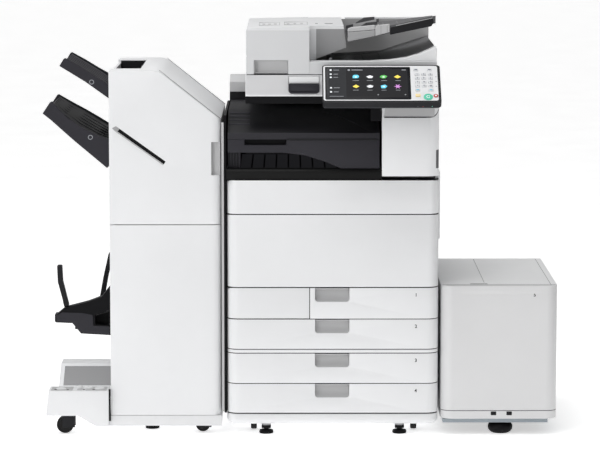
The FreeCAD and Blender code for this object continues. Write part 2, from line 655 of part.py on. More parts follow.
def panel():
    face = d.panel_thick
    slab = profile("XY", rectangle((d.panel_left, d.panel_right), (0, d.panel_long)), (0, face),
                   [(either(*(along("z", x=x, y=y) for x in (d.panel_left, d.panel_right)
                              for y in (0, d.panel_long))), 8)])
    recess = block((d.screen_left, d.screen_right), (d.screen_low, d.screen_high),
                   (face - d.screen_thick, face + 1))
    keys = []
    for row in range(4):
        for column in range(3):
            x = d.keypad_x + d.keypad_step * column
            y = d.keypad_y - d.keypad_row * row
            keys.append((x, y))
    keys += [(d.keypad_x - 3, d.panel_long - 20), (d.keypad_x + 36, d.panel_long - 20),
             (d.keypad_x, size(54)), (d.keypad_x + 38, size(54)), (d.keypad_x, size(30))]
    half_x, half_y = d.key_size / 2, d.key_high / 2
    caps = [block((x - half_x, x + half_x), (y - half_y, y + half_y),
                  (face - 3, face + d.key_rise)) for x, y in keys]
    play = 0.5
    wells = [block((x - half_x - play, x + half_x + play), (y - half_y - play, y + half_y + play),
                   (face - 6, face + 1)) for x, y in keys]
    round_keys = (("start_key", d.start_x, d.start_y, d.start_radius),
                  ("stop_key", d.stop_x, d.stop_y, d.start_radius / 2))
    for name, x, y, radius in round_keys:
        wells.append(rod("Z", (x, y, face - 6), radius + play, 8))
        keep(name, tilted_group(rod("Z", (x, y, face - 3), radius, size(3) + d.key_rise)))
    groove = rod("X", (d.arm_left - 2, d.groove_y, d.groove_z), d.hinge_radius + d.clearance,
                 d.arm_right - d.arm_left + 4)
    keep("panel_housing", tilt(cut(slab, recess, groove, *wells)))
    keep("touch_screen", tilted_group(block((d.screen_left, d.screen_right),
                                            (d.screen_low, d.screen_high),
                                            (face - d.screen_thick, face))))
    keep("number_keys", tilted_group(*caps))
    arm = block((d.arm_left, d.arm_right), (depth(3), depth(d.reader_front - 0.3)),
                (d.reader_bottom + 6, d.hinge_z - 2))
    web = block((d.arm_left, d.arm_right), (depth(d.hinge_y), depth(4)),
                (d.hinge_z - d.hinge_radius * 2, d.hinge_z - 2))
    barrel = rod("X", (d.arm_left, depth(d.hinge_y), d.hinge_z), d.hinge_radius,
                 d.arm_right - d.arm_left)
    keep("panel_arm", fuse(arm, web, barrel))


# ---------------------------------------------------------------- finisher

def finisher_outline(inset):
    """The cabinet's front outline: flat top, then a slope down to the right."""
    return [(d.fin_left + inset, d.fin_bottom + inset), (d.fin_right - inset, d.fin_bottom + inset),
            (d.fin_right - inset, d.fin_shoulder - size(inset) * 0.5),
            (d.fin_slope_x - size(inset) * 0.3, d.fin_top - inset), (d.fin_left + inset, d.fin_top - inset)]


def finisher():
    rear = depth(d.body_depth)
    inner_front = depth(d.fin_front) + d.fin_door + 2
    shoulder = (along("y", x=d.fin_slope_x, z=d.fin_top), 60)
    shell = profile("XZ", finisher_outline(0), (inner_front, rear), [shoulder])
    hollow = profile("XZ", finisher_outline(d.fin_wall), (inner_front - 1, rear - d.fin_wall))
    crown = block((d.fin_left - 1, d.crown_left), (depth(d.crown_front), depth(d.crown_rear)),
                  (d.fin_top - d.fin_wall - 1, d.fin_top + 1))
    exits = [block((d.fin_left - 1, d.fin_left + d.fin_wall + 1),
                   (depth(d.tray_front) + 12, depth(d.tray_rear) - 12), (low, low + d.exit_high))
             for low in (d.exit_upper, d.exit_lower, d.exit_booklet)]
    pin_y = depth(d.door_pin_y)
    plate = block((d.fin_left + 1, d.door_pin_x + 7), (pin_y - 5, inner_front + 3),
                  (d.fin_seam - d.clearance, d.fin_seam + d.clearance))
    pin = rod("Z", (d.door_pin_x, pin_y, d.fin_seam - d.door_pin_long), d.door_pin,
              d.door_pin_long * 2)
    keep("finisher_cabinet", fuse(cut(shell, hollow, crown, *exits), plate, pin))

    gap = d.seam / 2
    top = finisher_outline(0)
    upper = [(d.fin_left, d.fin_seam + gap), (d.fin_right, d.fin_seam + gap)] + top[2:]
    y = (depth(d.fin_front), depth(d.fin_front) + d.fin_door)
    edge = (along("z", x=d.fin_right, y=size(0)), d.fin_edge)
    door = profile("XZ", upper, y, [shoulder, edge])
    slot = profile("XZ", [(d.fin_left + 17, 900), (d.fin_left + 21, 907), (d.fin_left + 164, 805),
                          (d.fin_left + 159, 797)], (y[0] - 1, y[0] + 16))
    notch = block((d.notch_left, d.fin_right + 1), (y[0] - 1, y[0] + d.notch_deep),
                  (d.notch_low, d.notch_high))
    bores = [rod("Z", (d.door_pin_x, pin_y, d.fin_seam - d.door_pin_long - 1),
                 d.door_pin + d.clearance, d.door_pin_long * 2 + 2) for _ in range(2)]
    keep("finisher_upper_door", cut(door, slot, notch, bores[0]))
    lower = profile("XZ", rectangle((d.fin_left, d.fin_right),
                                    (d.fin_bottom + gap, d.fin_seam - gap)), y, [edge])
    keep("finisher_lower_door", cut(lower, bores[1]))


def output_trays():
    y = (depth(d.tray_front), depth(d.tray_rear))
    right = d.fin_left - d.tray_gap
    upper = [(-704.5, 1077.6), (-628.5, 1031), (right, 979.6), (right, 1021), (-605, 1051),
             (-646, 1077), (-687, 1101)]
    keep("upper_output_tray", profile("XZ", upper, y))
    lower = [(-d.half_width, 938), (-731, 919), (-662, 857), (-567, 777), (right, 786),
             (right, 873), (-728, 973)]
    keep("lower_output_tray", profile("XZ", lower, y))


def booklet():
    y = (depth(d.booklet_front), depth(d.booklet_rear))
    right = d.fin_left - d.tray_gap
    outline = [(-718, 324), (-670, 322), (-645, 291), (right, 286), (right, 434), (-583, 400),
               (-623, 385), (-692, 367), (-714, 349)]
    cheek = profile("XZ", outline, (y[0], y[0] + d.cheek_thick))
    hollow = profile("XZ", [(-603, 317), (-563, 315), (-563, 360), (-603, 345)],
                     (y[0] - 1, y[0] + d.cheek_thick))
    bed = profile("XZ", [(-665, 298), (right, 298), (right, 352), (-606, 338), (-665, 314)],
                  (y[0] + d.cheek_thick - 1, y[1]))
    far_stop = profile("XZ", [(-611, 334), (-598, 336), (-584, 417), (-568, 484), (-572, 490),
                              (-580, 488), (-596, 417)],
                       (depth(d.far_stop_front), depth(d.far_stop_rear)))
    keep("booklet_tray", fuse(cut(cheek, hollow), bed, far_stop))
    blade = [(-713, 491), (-711, 443), (-698, 393), (-693, 367.2), (-681, 370.3), (-687, 396),
             (-699, 446), (-701, 491)]
    keep("booklet_arms", profile("XZ", blade, (y[0] + 6, y[0] + 6 + d.arm_wide)))


def finisher_base():
    x, y = (d.tub_left, d.tub_right), (depth(d.tub_front), depth(d.tub_rear))
    wall = d.tub_wall
    outline = [(x[0], d.tub_low), (-652, d.tub_low), (-599, d.tub_step), (x[1], d.tub_step),
               (x[1], d.tub_top), (x[0] + 8, d.tub_top)]
    legs = [profile("XZ", outline, span, [(either(along("z", y=size(0))), 4)])
            for span in ((y[0], y[0] + d.leg_deep), (y[1] - d.leg_deep, y[1]))]
    plinth = block((x[1], d.fin_right), (depth(d.fin_front), depth(d.body_depth)),
                   (d.plinth_bottom, d.fin_bottom))
    under = block((x[1] + 20, d.fin_right - wall), (depth(d.fin_front) + wall, depth(d.body_depth) - wall),
                  (d.plinth_bottom - 1, d.fin_bottom - d.plinth_roof))
    keep("finisher_base", fuse(*legs, cut(plinth, under)))


# ---------------------------------------------------------------- side paper deck

def deck():
    x = (d.deck_left, d.half_width)
    y = (d.front_y, depth(d.deck_rear))
    split = depth(d.deck_front_thick)
    gap = d.seam / 2
    wall = d.deck_wall
    lid_z = d.deck_top
    cabinet = block(x, (split + gap, y[1]), (d.deck_band, lid_z))
    inside = block((x[0] + wall, x[1] - wall), (split - 1, y[1] - wall),
                   (d.deck_band + wall, lid_z - wall))
    pan = block((x[0] + 6, x[1] - 26), (depth(8), y[1] - 6), (d.deck_bottom, d.deck_band))
    foot_pad = rod("Z", (d.deck_foot_x, depth(d.deck_foot_y), 0), d.deck_foot_radius, 14)
    foot_neck = rod("Z", (d.deck_foot_x, depth(d.deck_foot_y), 14), d.deck_foot_radius * 0.6,
                    d.deck_bottom - 14)
    rear_feet = [rod("Z", (side, depth(560), 0), 18, d.deck_bottom)
                 for side in (d.deck_left + 60, d.half_width - 80)]
    keep("deck_cabinet", fuse(cut(cabinet, inside), pan, foot_pad, foot_neck, *rear_feet))
    front = profile("XY", rectangle(x, (y[0], split)), (d.deck_band + 1.5, lid_z),
                    [(either(along("z", x=x[0], y=y[0]), along("z", x=x[1], y=y[0])),
                      d.corner_radius - 2)])
    keep("deck_front", front)
    box_x = (x[0] + wall + 8, x[1] - wall - 8)
    box_y = (split, y[1] - wall - 20)
    box_z = (d.deck_band + wall + 6, lid_z - wall - 30)
    outer = block(box_x, box_y, box_z)
    hollow = block((box_x[0] + 4, box_x[1] - 4), (box_y[0] + 4, box_y[1] - 4),
                   (box_z[0] + 4, box_z[1] + 1))
    keep("deck_paper_box", cut(outer, hollow))


base_frame()
adjuster_feet()
casters()
main_frame()
side_and_rear_covers()
front_doors()
drawers()
engine()
exit_bay()
right_front_cover()
bridge()
right_side()
reader()
feeder()
panel()
finisher()
output_trays()
booklet()
finisher_base()
deck()

# ---------------------------------------------------------------- checks and export

doc.recompute()
for piece in doc.Objects:
    if {"Invalid", "Error"} & set(piece.State):
        raise RuntimeError(f"{piece.Label} ({piece.Name}) failed: {piece.State}")
for name, piece in nodes.items():
    if piece.Shape.isNull() or not piece.Shape.isValid():
        raise RuntimeError(f"{name} has no valid shape")
    piece.Shape.exportStep(f"parts/{name}.step")
    print(f"{name:24s} {len(piece.Shape.Solids)} solid(s) {piece.Shape.Volume / 1e6:9.3f} litres")
print(len(nodes), "sub-parts")
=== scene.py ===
import json
import math

import bmesh
import bpy
from mathutils import Matrix, Vector


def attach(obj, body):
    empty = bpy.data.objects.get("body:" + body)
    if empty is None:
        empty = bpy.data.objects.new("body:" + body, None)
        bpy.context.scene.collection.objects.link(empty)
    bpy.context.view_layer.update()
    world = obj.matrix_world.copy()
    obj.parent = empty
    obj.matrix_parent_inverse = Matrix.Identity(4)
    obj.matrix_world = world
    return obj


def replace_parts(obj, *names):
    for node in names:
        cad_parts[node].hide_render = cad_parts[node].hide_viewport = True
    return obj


# The looks of the office copier: materials for every CAD node, moulded detail pieces,
# the lit touch panel, and a studio with the camera.  Lengths below are millimetres, X and Z
# in the CAD model's frame and Y as the depth behind the main body's front.

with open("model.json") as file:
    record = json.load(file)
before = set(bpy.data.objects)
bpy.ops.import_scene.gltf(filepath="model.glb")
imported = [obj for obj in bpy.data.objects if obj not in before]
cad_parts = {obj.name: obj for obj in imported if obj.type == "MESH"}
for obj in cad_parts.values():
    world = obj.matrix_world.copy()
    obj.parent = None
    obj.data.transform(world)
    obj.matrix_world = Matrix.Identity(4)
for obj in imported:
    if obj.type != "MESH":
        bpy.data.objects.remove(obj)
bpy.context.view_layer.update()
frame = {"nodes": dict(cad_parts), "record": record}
NODES = frame["nodes"]
MM = 0.001
FRONT = -242.0                     # Y of the main body's front plane


def deep(amount):
    """The Y that lies this far behind the main body's front."""
    return FRONT + amount


# ---------------------------------------------------------------- materials


def link_noise(tree, scale, detail=3.0, roughness=0.55):
    """A noise texture on object coordinates, so the grain has a real size in metres."""
    where = tree.nodes.new("ShaderNodeTexCoord")
    noise = tree.nodes.new("ShaderNodeTexNoise")
    noise.inputs["Scale"].default_value = scale
    noise.inputs["Detail"].default_value = detail
    noise.inputs["Roughness"].default_value = roughness
    tree.links.new(where.outputs["Object"], noise.inputs["Vector"])
    return noise


def ramp(tree, factor, low, high):
    """A ramp from one colour to another over the middle of a factor's range."""
    node = tree.nodes.new("ShaderNodeValToRGB")
    node.color_ramp.elements[0].position = 0.32
    node.color_ramp.elements[1].position = 0.68
    node.color_ramp.elements[0].color = (*low, 1)
    node.color_ramp.elements[1].color = (*high, 1)
    tree.links.new(factor, node.inputs["Fac"])
    return node.outputs["Color"]


def cloudy(tree, colour, spread):
    """Faint uneven tone around one colour."""
    clouds = link_noise(tree, 3.1, 4.0)
    dark = [c * (1 - spread) for c in colour]
    light = [min(1.0, c * (1 + spread)) for c in colour]
    return ramp(tree, clouds.outputs["Fac"], dark, light)


def beyond(tree, normal, offset):
    """1 where a point lies past a plane given in object coordinates (metres), else 0."""
    where = tree.nodes.new("ShaderNodeTexCoord")
    dot = tree.nodes.new("ShaderNodeVectorMath")
    dot.operation = "DOT_PRODUCT"
    dot.inputs[1].default_value = normal
    tree.links.new(where.outputs["Object"], dot.inputs[0])
    test = tree.nodes.new("ShaderNodeMath")
    test.operation = "GREATER_THAN"
    test.inputs[1].default_value = offset
    tree.links.new(dot.outputs["Value"], test.inputs[0])
    return test.outputs["Value"]


LOOKS = {}                         # every look by its name


def plastic(name, colour, rough=0.42, grain=900.0, bump=0.06, spread=0.02, specular=0.45,
            metal=0.0, coat=0.0, glow=0.0, zones=()):
    """Moulded plastic or painted metal: faint cloudy colour, grained surface, uneven gloss.

    zones recolours parts of the object: each is a list of planes (normal, offset), all of
    which a point must be past, and the colour that it then has.
    """
    material = bpy.data.materials.new(name)
    material.use_nodes = True
    tree = material.node_tree
    shader = tree.nodes["Principled BSDF"]
    shader.inputs["Metallic"].default_value = metal
    shader.inputs["Specular IOR Level"].default_value = specular
    shader.inputs["Coat Weight"].default_value = coat
    paint = cloudy(tree, colour, spread)
    for planes, other in zones:
        inside = None
        for normal, offset in planes:
            test = beyond(tree, normal, offset)
            if inside is None:
                inside = test
            else:
                both = tree.nodes.new("ShaderNodeMath")
                both.operation = "MULTIPLY"
                tree.links.new(inside, both.inputs[0])
                tree.links.new(test, both.inputs[1])
                inside = both.outputs["Value"]
        mix = tree.nodes.new("ShaderNodeMix")
        mix.data_type = "RGBA"
        tree.links.new(inside, mix.inputs["Factor"])
        tree.links.new(paint, mix.inputs["A"])
        tree.links.new(cloudy(tree, other, spread), mix.inputs["B"])
        paint = mix.outputs["Result"]
    tree.links.new(paint, shader.inputs["Base Color"])
    if glow:
        tree.links.new(paint, shader.inputs["Emission Color"])
        shader.inputs["Emission Strength"].default_value = glow
    texture = link_noise(tree, grain, 2.0)
    gloss = tree.nodes.new("ShaderNodeMapRange")
    gloss.inputs["To Min"].default_value = rough - 0.06
    gloss.inputs["To Max"].default_value = rough + 0.06
    tree.links.new(texture.outputs["Fac"], gloss.inputs["Value"])
    tree.links.new(gloss.outputs["Result"], shader.inputs["Roughness"])
    height = tree.nodes.new("ShaderNodeBump")
    height.inputs["Strength"].default_value = bump
    height.inputs["Distance"].default_value = 0.0004
    tree.links.new(texture.outputs["Fac"], height.inputs["Height"])
    tree.links.new(height.outputs["Normal"], shader.inputs["Normal"])
    LOOKS[name] = material
    return material


PANEL_TILT = math.radians(36.5)
PANEL_CORNER = Vector((0, deep(-123.5) * MM, 972.1 * MM))
PANEL_FACE = Matrix.Translation(PANEL_CORNER) @ Matrix.Rotation(PANEL_TILT, 4, "X")
PANEL_NORMAL = (PANEL_FACE.to_3x3() @ Vector((0, 0, 1))).normalized()
PANEL_THICK = 21.0


def panel_height(amount):
    """The plane at a height above the panel slab's underside, for a material's zones."""
    return tuple(PANEL_NORMAL), PANEL_NORMAL.dot(PANEL_CORNER) + amount * MM


SHELL = {"rough": 0.40, "grain": 1400, "bump": 0.05, "specular": 0.3}
TRIM = {"rough": 0.5, "grain": 1100, "bump": 0.10, "specular": 0.16}
FACING = (0, -1, 0)                # the direction of a zone towards the front
UP = (0, 0, 1)
WHITE = plastic("white_cover", (0.80, 0.805, 0.815), **SHELL)
BEZEL = plastic("panel_case", (0.04, 0.04, 0.047), **{**SHELL, "rough": 0.42},
                zones=[([panel_height(17.6)], (0.76, 0.765, 0.775))])
DECK = plastic("deck_cover", (0.70, 0.70, 0.705), **{**SHELL, "rough": 0.42})
BLACK = plastic("black_plastic", (0.006, 0.006, 0.007), **{**TRIM, "specular": 0.10})
SLATE = plastic("slate_plastic", (0.027, 0.026, 0.032), rough=0.48, grain=1100, bump=0.10, specular=0.2)
DARK = plastic("dark_slate", (0.014, 0.014, 0.016), **TRIM)
GREY = plastic("grey_plastic", (0.10, 0.10, 0.105), rough=0.5, grain=1000, bump=0.08, specular=0.25)
LIGHT = plastic("light_grey", (0.50, 0.50, 0.505), rough=0.45, grain=1200, specular=0.3)
SHADE = plastic("shaded_grey", (0.32, 0.32, 0.325), rough=0.5, grain=1200, specular=0.25)
# Grip grey: the white cover painted darker in the drawers' finger recesses, as painted shade.
GRIP_SHADE = plastic("grip_recess_shade", (0.52, 0.52, 0.525), rough=0.45, grain=1200, bump=0.05, specular=0.25)
SLATEGREY = plastic("tray_grey", (0.14, 0.14, 0.145), rough=0.5, grain=1000, bump=0.08, specular=0.25)
PALE = plastic("pale_grey", (0.36, 0.36, 0.365), rough=0.45, grain=1200, bump=0.05, specular=0.3)
PALER = plastic("paler_grey", (0.50, 0.50, 0.505), rough=0.45, grain=1200, bump=0.05, specular=0.3)
STEEL = plastic("steel_frame", (0.52, 0.55, 0.56), rough=0.38, grain=260, bump=0.03, metal=0.6)
BRACKET = plastic("bracket_steel", (0.30, 0.30, 0.31), rough=0.35, grain=400, metal=0.7)
plastic("key_grey", (0.66, 0.67, 0.69), rough=0.35, grain=1600, specular=0.3)
plastic("start_green", (0.09, 0.50, 0.34), rough=0.35, grain=1600, specular=0.25, glow=0.12)
plastic("stop_red", (0.50, 0.09, 0.08), rough=0.4, grain=1600, specular=0.25)
TYRE = plastic("tyre_rubber", (0.012, 0.012, 0.012), rough=0.6, grain=700, bump=0.15, specular=0.2)
ROLLER = plastic("roller_rubber", (0.20, 0.20, 0.21), rough=0.7, grain=1800, bump=0.25)
plastic("bottle_plastic", (0.03, 0.03, 0.034), rough=0.35)
plastic("cassette_plastic", (0.055, 0.055, 0.06), rough=0.5, bump=0.1)
plastic("screen_glass", (0.010, 0.011, 0.014), rough=0.22, grain=400, bump=0.01, specular=0.16)
plastic("platen_glass", (0.45, 0.52, 0.50), rough=0.07, grain=300, bump=0.0, specular=0.6)

READER = plastic("reader_case", (0.80, 0.805, 0.815), **SHELL,
                 zones=[([(FACING, -deep(16.2) * MM)], (0.62, 0.62, 0.63))])
# The feeder's white cover with painted light and shade: darker than the white cover on its front and sides,
# lighter on its top above 1186.5 mm, and mid-grey inside behind the document tray.
FEEDER_LIT_SHADED = plastic("feeder_case_lit_shaded", (0.64, 0.645, 0.655), **SHELL,
                 zones=[([((0, 1, 0), deep(80.6) * MM), (FACING, -deep(552) * MM),
                          ((1, 0, 0), 0.048), (UP, 1.066)], (0.30, 0.30, 0.305)),
                        ([(UP, 1.1865)], (0.73, 0.735, 0.745))])
BRIDGE = plastic("bridge_case", (0.010, 0.010, 0.012), **TRIM,
                 zones=[([(FACING, -deep(14) * MM)], (0.028, 0.027, 0.032))])
PILLAR = plastic("pillar_case", (0.010, 0.010, 0.011), **TRIM,
                 zones=[([(UP, 0.9695)], (0.52, 0.52, 0.525))])
# The side deck's cover: its top above 439.2 mm is painted lighter, as painted light; below 45.1 mm a bluish
# band, and black below 34.1 mm.
SIDE_DECK_LIT_TOP = plastic("deck_shell_lit_top", (0.70, 0.70, 0.705), **{**SHELL, "rough": 0.42},
                    zones=[([(UP, 0.4392)], (0.95, 0.955, 0.96)),
                           ([((0, 0, -1), -0.0451)], (0.30, 0.34, 0.37)),
                           ([((0, 0, -1), -0.0341)], (0.010, 0.010, 0.011))])
# The exit tray glows faintly, as painted light on a tray that lies in the bay's shadow; its front lip stays
# near black.
EXIT_GLOWING = plastic("exit_tray_painted_glow", (0.024, 0.024, 0.027), rough=0.5, grain=1100, bump=0.08, specular=0.16,
               glow=0.45, zones=[([(FACING, -deep(40) * MM)], (0.004, 0.004, 0.004))])
TOWER = plastic("tower_shell", (0.10, 0.10, 0.105), rough=0.5, grain=1000, bump=0.08)
NODE_LOOKS = {"panel_housing": BEZEL, "reader_housing": READER, "feeder_base": FEEDER_LIT_SHADED,
              "bridge_lid": BRIDGE, "rear_column": PILLAR, "deck_cabinet": SIDE_DECK_LIT_TOP,
              "right_tower": TOWER, "exit_tray": EXIT_GLOWING, "feeder_cover": FEEDER_LIT_SHADED, "caster_forks": DARK}

# The slot that a look belongs to when a piece names none.
SLOT_OF = {look: name for name, look in LOOKS.items()}
SLOT_OF |= {DARK: "black_plastic", SHADE: "grey_plastic", GRIP_SHADE: "white_cover", FEEDER_LIT_SHADED: "white_cover",
            SLATEGREY: "grey_plastic", PALE: "light_grey", PALER: "light_grey"}

# ---------------------------------------------------------------- CAD nodes


def soften(piece, width, angle=35):
    """Rounds a piece's sharp edges and smooths the shading between them."""
    piece.data.shade_smooth()
    bevel = piece.modifiers.new("edges", "BEVEL")
    bevel.width = width * MM
    bevel.segments = 3
    bevel.limit_method = "ANGLE"
    bevel.angle_limit = math.radians(angle)
    bevel.harden_normals = True


def dress(node, material, width=1.6):
    """Gives a CAD node its material, welded smooth shading and softly rounded edges."""
    node.data.materials.clear()
    node.data.materials.append(material)
    weld = node.modifiers.new("weld", "WELD")
    weld.merge_threshold = 0.00002
    soften(node, width)


for entry in frame["record"]["subparts"]:
    node_name = entry["node"]
    dress(NODES[node_name], NODE_LOOKS.get(node_name, LOOKS[entry["material_slot"]]))

# ---------------------------------------------------------------- piece helpers

ORDER = {"X": (1, 2, 0), "Y": (0, 2, 1), "Z": (0, 1, 2)}


def put(x, y, z, place=None):
    """A point in metres, its Y the depth behind the front, or a point in a place's own plane."""
    if place:
        return place @ Vector((x * MM, y * MM, z * MM))
    return Vector((x * MM, deep(y) * MM, z * MM))


def add_ring(bm, axis, outline, level, place):
    """The points of an outline of pairs across an axis, at one level along it."""
    first, second, third = ORDER[axis]
    ring = []
    for a, b in outline:
        spot = [0, 0, 0]
        spot[first], spot[second], spot[third] = a, b, level
        ring.append(bm.verts.new(put(*spot, place)))
    return ring


def add_prism(bm, axis, outline, span, place=None):
    """An outline run along an axis from one value to another."""
    low, high = (add_ring(bm, axis, outline, level, place) for level in span)
    bm.faces.new(low)
    bm.faces.new(list(reversed(high)))
    for i in range(len(outline)):
        j = (i + 1) % len(outline)
        bm.faces.new((low[j], low[i], high[i], high[j]))


def add_frame(bm, axis, outer, inner, span, place=None):
    """A flat frame between two outlines that have the same number of points."""
    rows = [add_ring(bm, axis, outline, level, place) for level in span for outline in (outer, inner)]
    for one, two in ((0, 1), (1, 3), (3, 2), (2, 0)):
        for i in range(len(outer)):
            j = (i + 1) % len(outer)
            bm.faces.new((rows[one][i], rows[one][j], rows[two][j], rows[two][i]))


def add_lathe(bm, axis, centre, stations, steps=40):
    """A turned form: (distance along the axis, radius) stations round a centre."""
    rings = []
    for along, radius in stations:
        ring = []
        for i in range(steps):
            turn = 2 * math.pi * i / steps
            a, b = radius * math.cos(turn), radius * math.sin(turn)
            offset = {"X": (along, a, b), "Y": (a, along, b), "Z": (a, b, along)}[axis]
            ring.append(bm.verts.new(put(*(Vector(centre) + Vector(offset)))))
        rings.append(ring)
    for low, high in zip(rings, rings[1:]):
        for i in range(steps):
            j = (i + 1) % steps
            bm.faces.new((low[i], low[j], high[j], high[i]))
    bm.faces.new(list(reversed(rings[0])))
    bm.faces.new(rings[-1])


def adopt(piece, look, body):
    """Links a piece, gives it its material, and sets it riding on its body."""
    bpy.context.scene.collection.objects.link(piece)
    piece.data.materials.append(look)
    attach(piece, body)
    return piece


def make(name, build, look, edge=0.8, body="machine"):
    """A piece from a function that fills a bmesh."""
    bm = bmesh.new()
    build(bm)
    bmesh.ops.recalc_face_normals(bm, faces=bm.faces)
    mesh = bpy.data.meshes.new(name)
    bm.to_mesh(mesh)
    bm.free()
    piece = adopt(bpy.data.objects.new(name, mesh), look, body)
    if edge:
        soften(piece, edge)
    return piece


def prisms(name, parts, look, edge=0.8, body="machine", place=None):
    """One piece from several (axis, outline, span) forms."""
    def build(bm):
        for axis, outline, span in parts:
            add_prism(bm, axis, outline, span, place)
    return make(name, build, look, edge, body)


def prism(name, axis, outline, span, look, edge=0.8, body="machine"):
    return prisms(name, [(axis, outline, span)], look, edge, body)


def lathes(name, parts, look, body="machine"):
    """One piece from several (axis, centre, stations) turned forms."""
    def build(bm):
        for axis, centre, stations in parts:
            add_lathe(bm, axis, centre, stations)
    return make(name, build, look, 0.5, body)


def tube(name, points, radius, look, body="machine"):
    """A smooth round line through millimetre points."""
    curve = bpy.data.curves.new(name, "CURVE")
    curve.dimensions = "3D"
    curve.bevel_depth = radius * MM
    curve.bevel_resolution = 3
    curve.use_fill_caps = True
    spline = curve.splines.new("NURBS")
    spline.points.add(len(points) - 1)
    for knot, spot in zip(spline.points, points):
        knot.co = (*put(*spot), 1)
    spline.order_u = 3
    spline.use_endpoint_u = True
    spline.resolution_u = 8
    return adopt(bpy.data.objects.new(name, curve), look, body)


def lettering(name, marks, size, look, body, place=None):
    """Small raised characters: marks holds (text, (x, y, z)), facing the front or a place's way."""
    bm = bmesh.new()
    turn = place.to_3x3().to_4x4() if place else Matrix.Rotation(math.pi / 2, 4, "X")
    for text, spot in marks:
        curve = bpy.data.curves.new(name, "FONT")
        curve.body = text
        curve.size = size * MM
        curve.extrude = 0.0001
        curve.offset = size * 0.02 * MM
        curve.align_x = "CENTER"
        curve.align_y = "CENTER"
        carrier = bpy.data.objects.new(name, curve)
        bpy.context.scene.collection.objects.link(carrier)
        bpy.context.view_layer.update()
        flat = bpy.data.meshes.new_from_object(carrier)
        flat.transform(Matrix.Translation(put(*spot, place)) @ turn)
        bm.from_mesh(flat)
        bpy.data.objects.remove(carrier)
        bpy.data.meshes.remove(flat)
    mesh = bpy.data.meshes.new(name)
    bm.to_mesh(mesh)
    bm.free()
    return adopt(bpy.data.objects.new(name, mesh), look, body)


def rect(x, z):
    return [(x[0], z[0]), (x[1], z[0]), (x[1], z[1]), (x[0], z[1])]


def rounded(x, z, radii, steps=6):
    """A rectangle with its own radius at each corner: low left, low right, top right, top left."""
    if not isinstance(radii, tuple):
        radii = (radii,) * 4
    corners = ((x[0], z[0], 1, 1, 180), (x[1], z[0], -1, 1, 270), (x[1], z[1], -1, -1, 0),
               (x[0], z[1], 1, -1, 90))
    outline = []
    for (cx, cz, sx, sz, start), radius in zip(corners, radii):
        radius = max(radius, 0.05)
        outline += arc((cx + sx * radius, cz + sz * radius), radius, start, start + 90, steps)
    return outline


def arc(centre, radius, start, end, steps=8):
    """Points round part of a circle, in degrees."""
    turns = [math.radians(start + (end - start) * i / steps) for i in range(steps + 1)]
    return [(centre[0] + radius * math.cos(t), centre[1] + radius * math.sin(t)) for t in turns]


def circle(x, z, radius, steps, start=0.0):
    """Points all round a circle, the first one at a turn given in radians."""
    turns = [start + 2 * math.pi * i / steps for i in range(steps)]
    return [(x + radius * math.cos(t), z + radius * math.sin(t)) for t in turns]


# ---------------------------------------------------------------- touch panel

SCREEN_X, SCREEN_Y = (75, 316), (16, 154)


def lit(name, colour, glow):
    return plastic(name, colour, rough=0.4, grain=700, bump=0.0, spread=0.06, specular=0.1, glow=glow)


UI = {name: lit(f"ui_{name}", colour, glow) for name, colour, glow in (
    ("dark", (0.012, 0.012, 0.014), 0.1), ("bar", (0.022, 0.023, 0.026), 0.1),
    ("text", (0.30, 0.31, 0.33), 0.2), ("white", (0.66, 0.68, 0.70), 0.4),
    ("cyan", (0.13, 0.55, 0.75), 0.4), ("green", (0.10, 0.42, 0.10), 0.4),
    ("yellow", (0.80, 0.62, 0.10), 0.4), ("purple", (0.48, 0.22, 0.52), 0.4),
    ("red", (0.65, 0.12, 0.06), 0.4))}


def on_panel(name, outlines, height, look, body="panel", thick=0.25):
    """Flat marks on the panel's face, as outlines in the panel's own plane."""
    span = (PANEL_THICK + height, PANEL_THICK + height + thick)
    prisms(name, [("Z", outline, span) for outline in outlines], look, 0, body, PANEL_FACE)


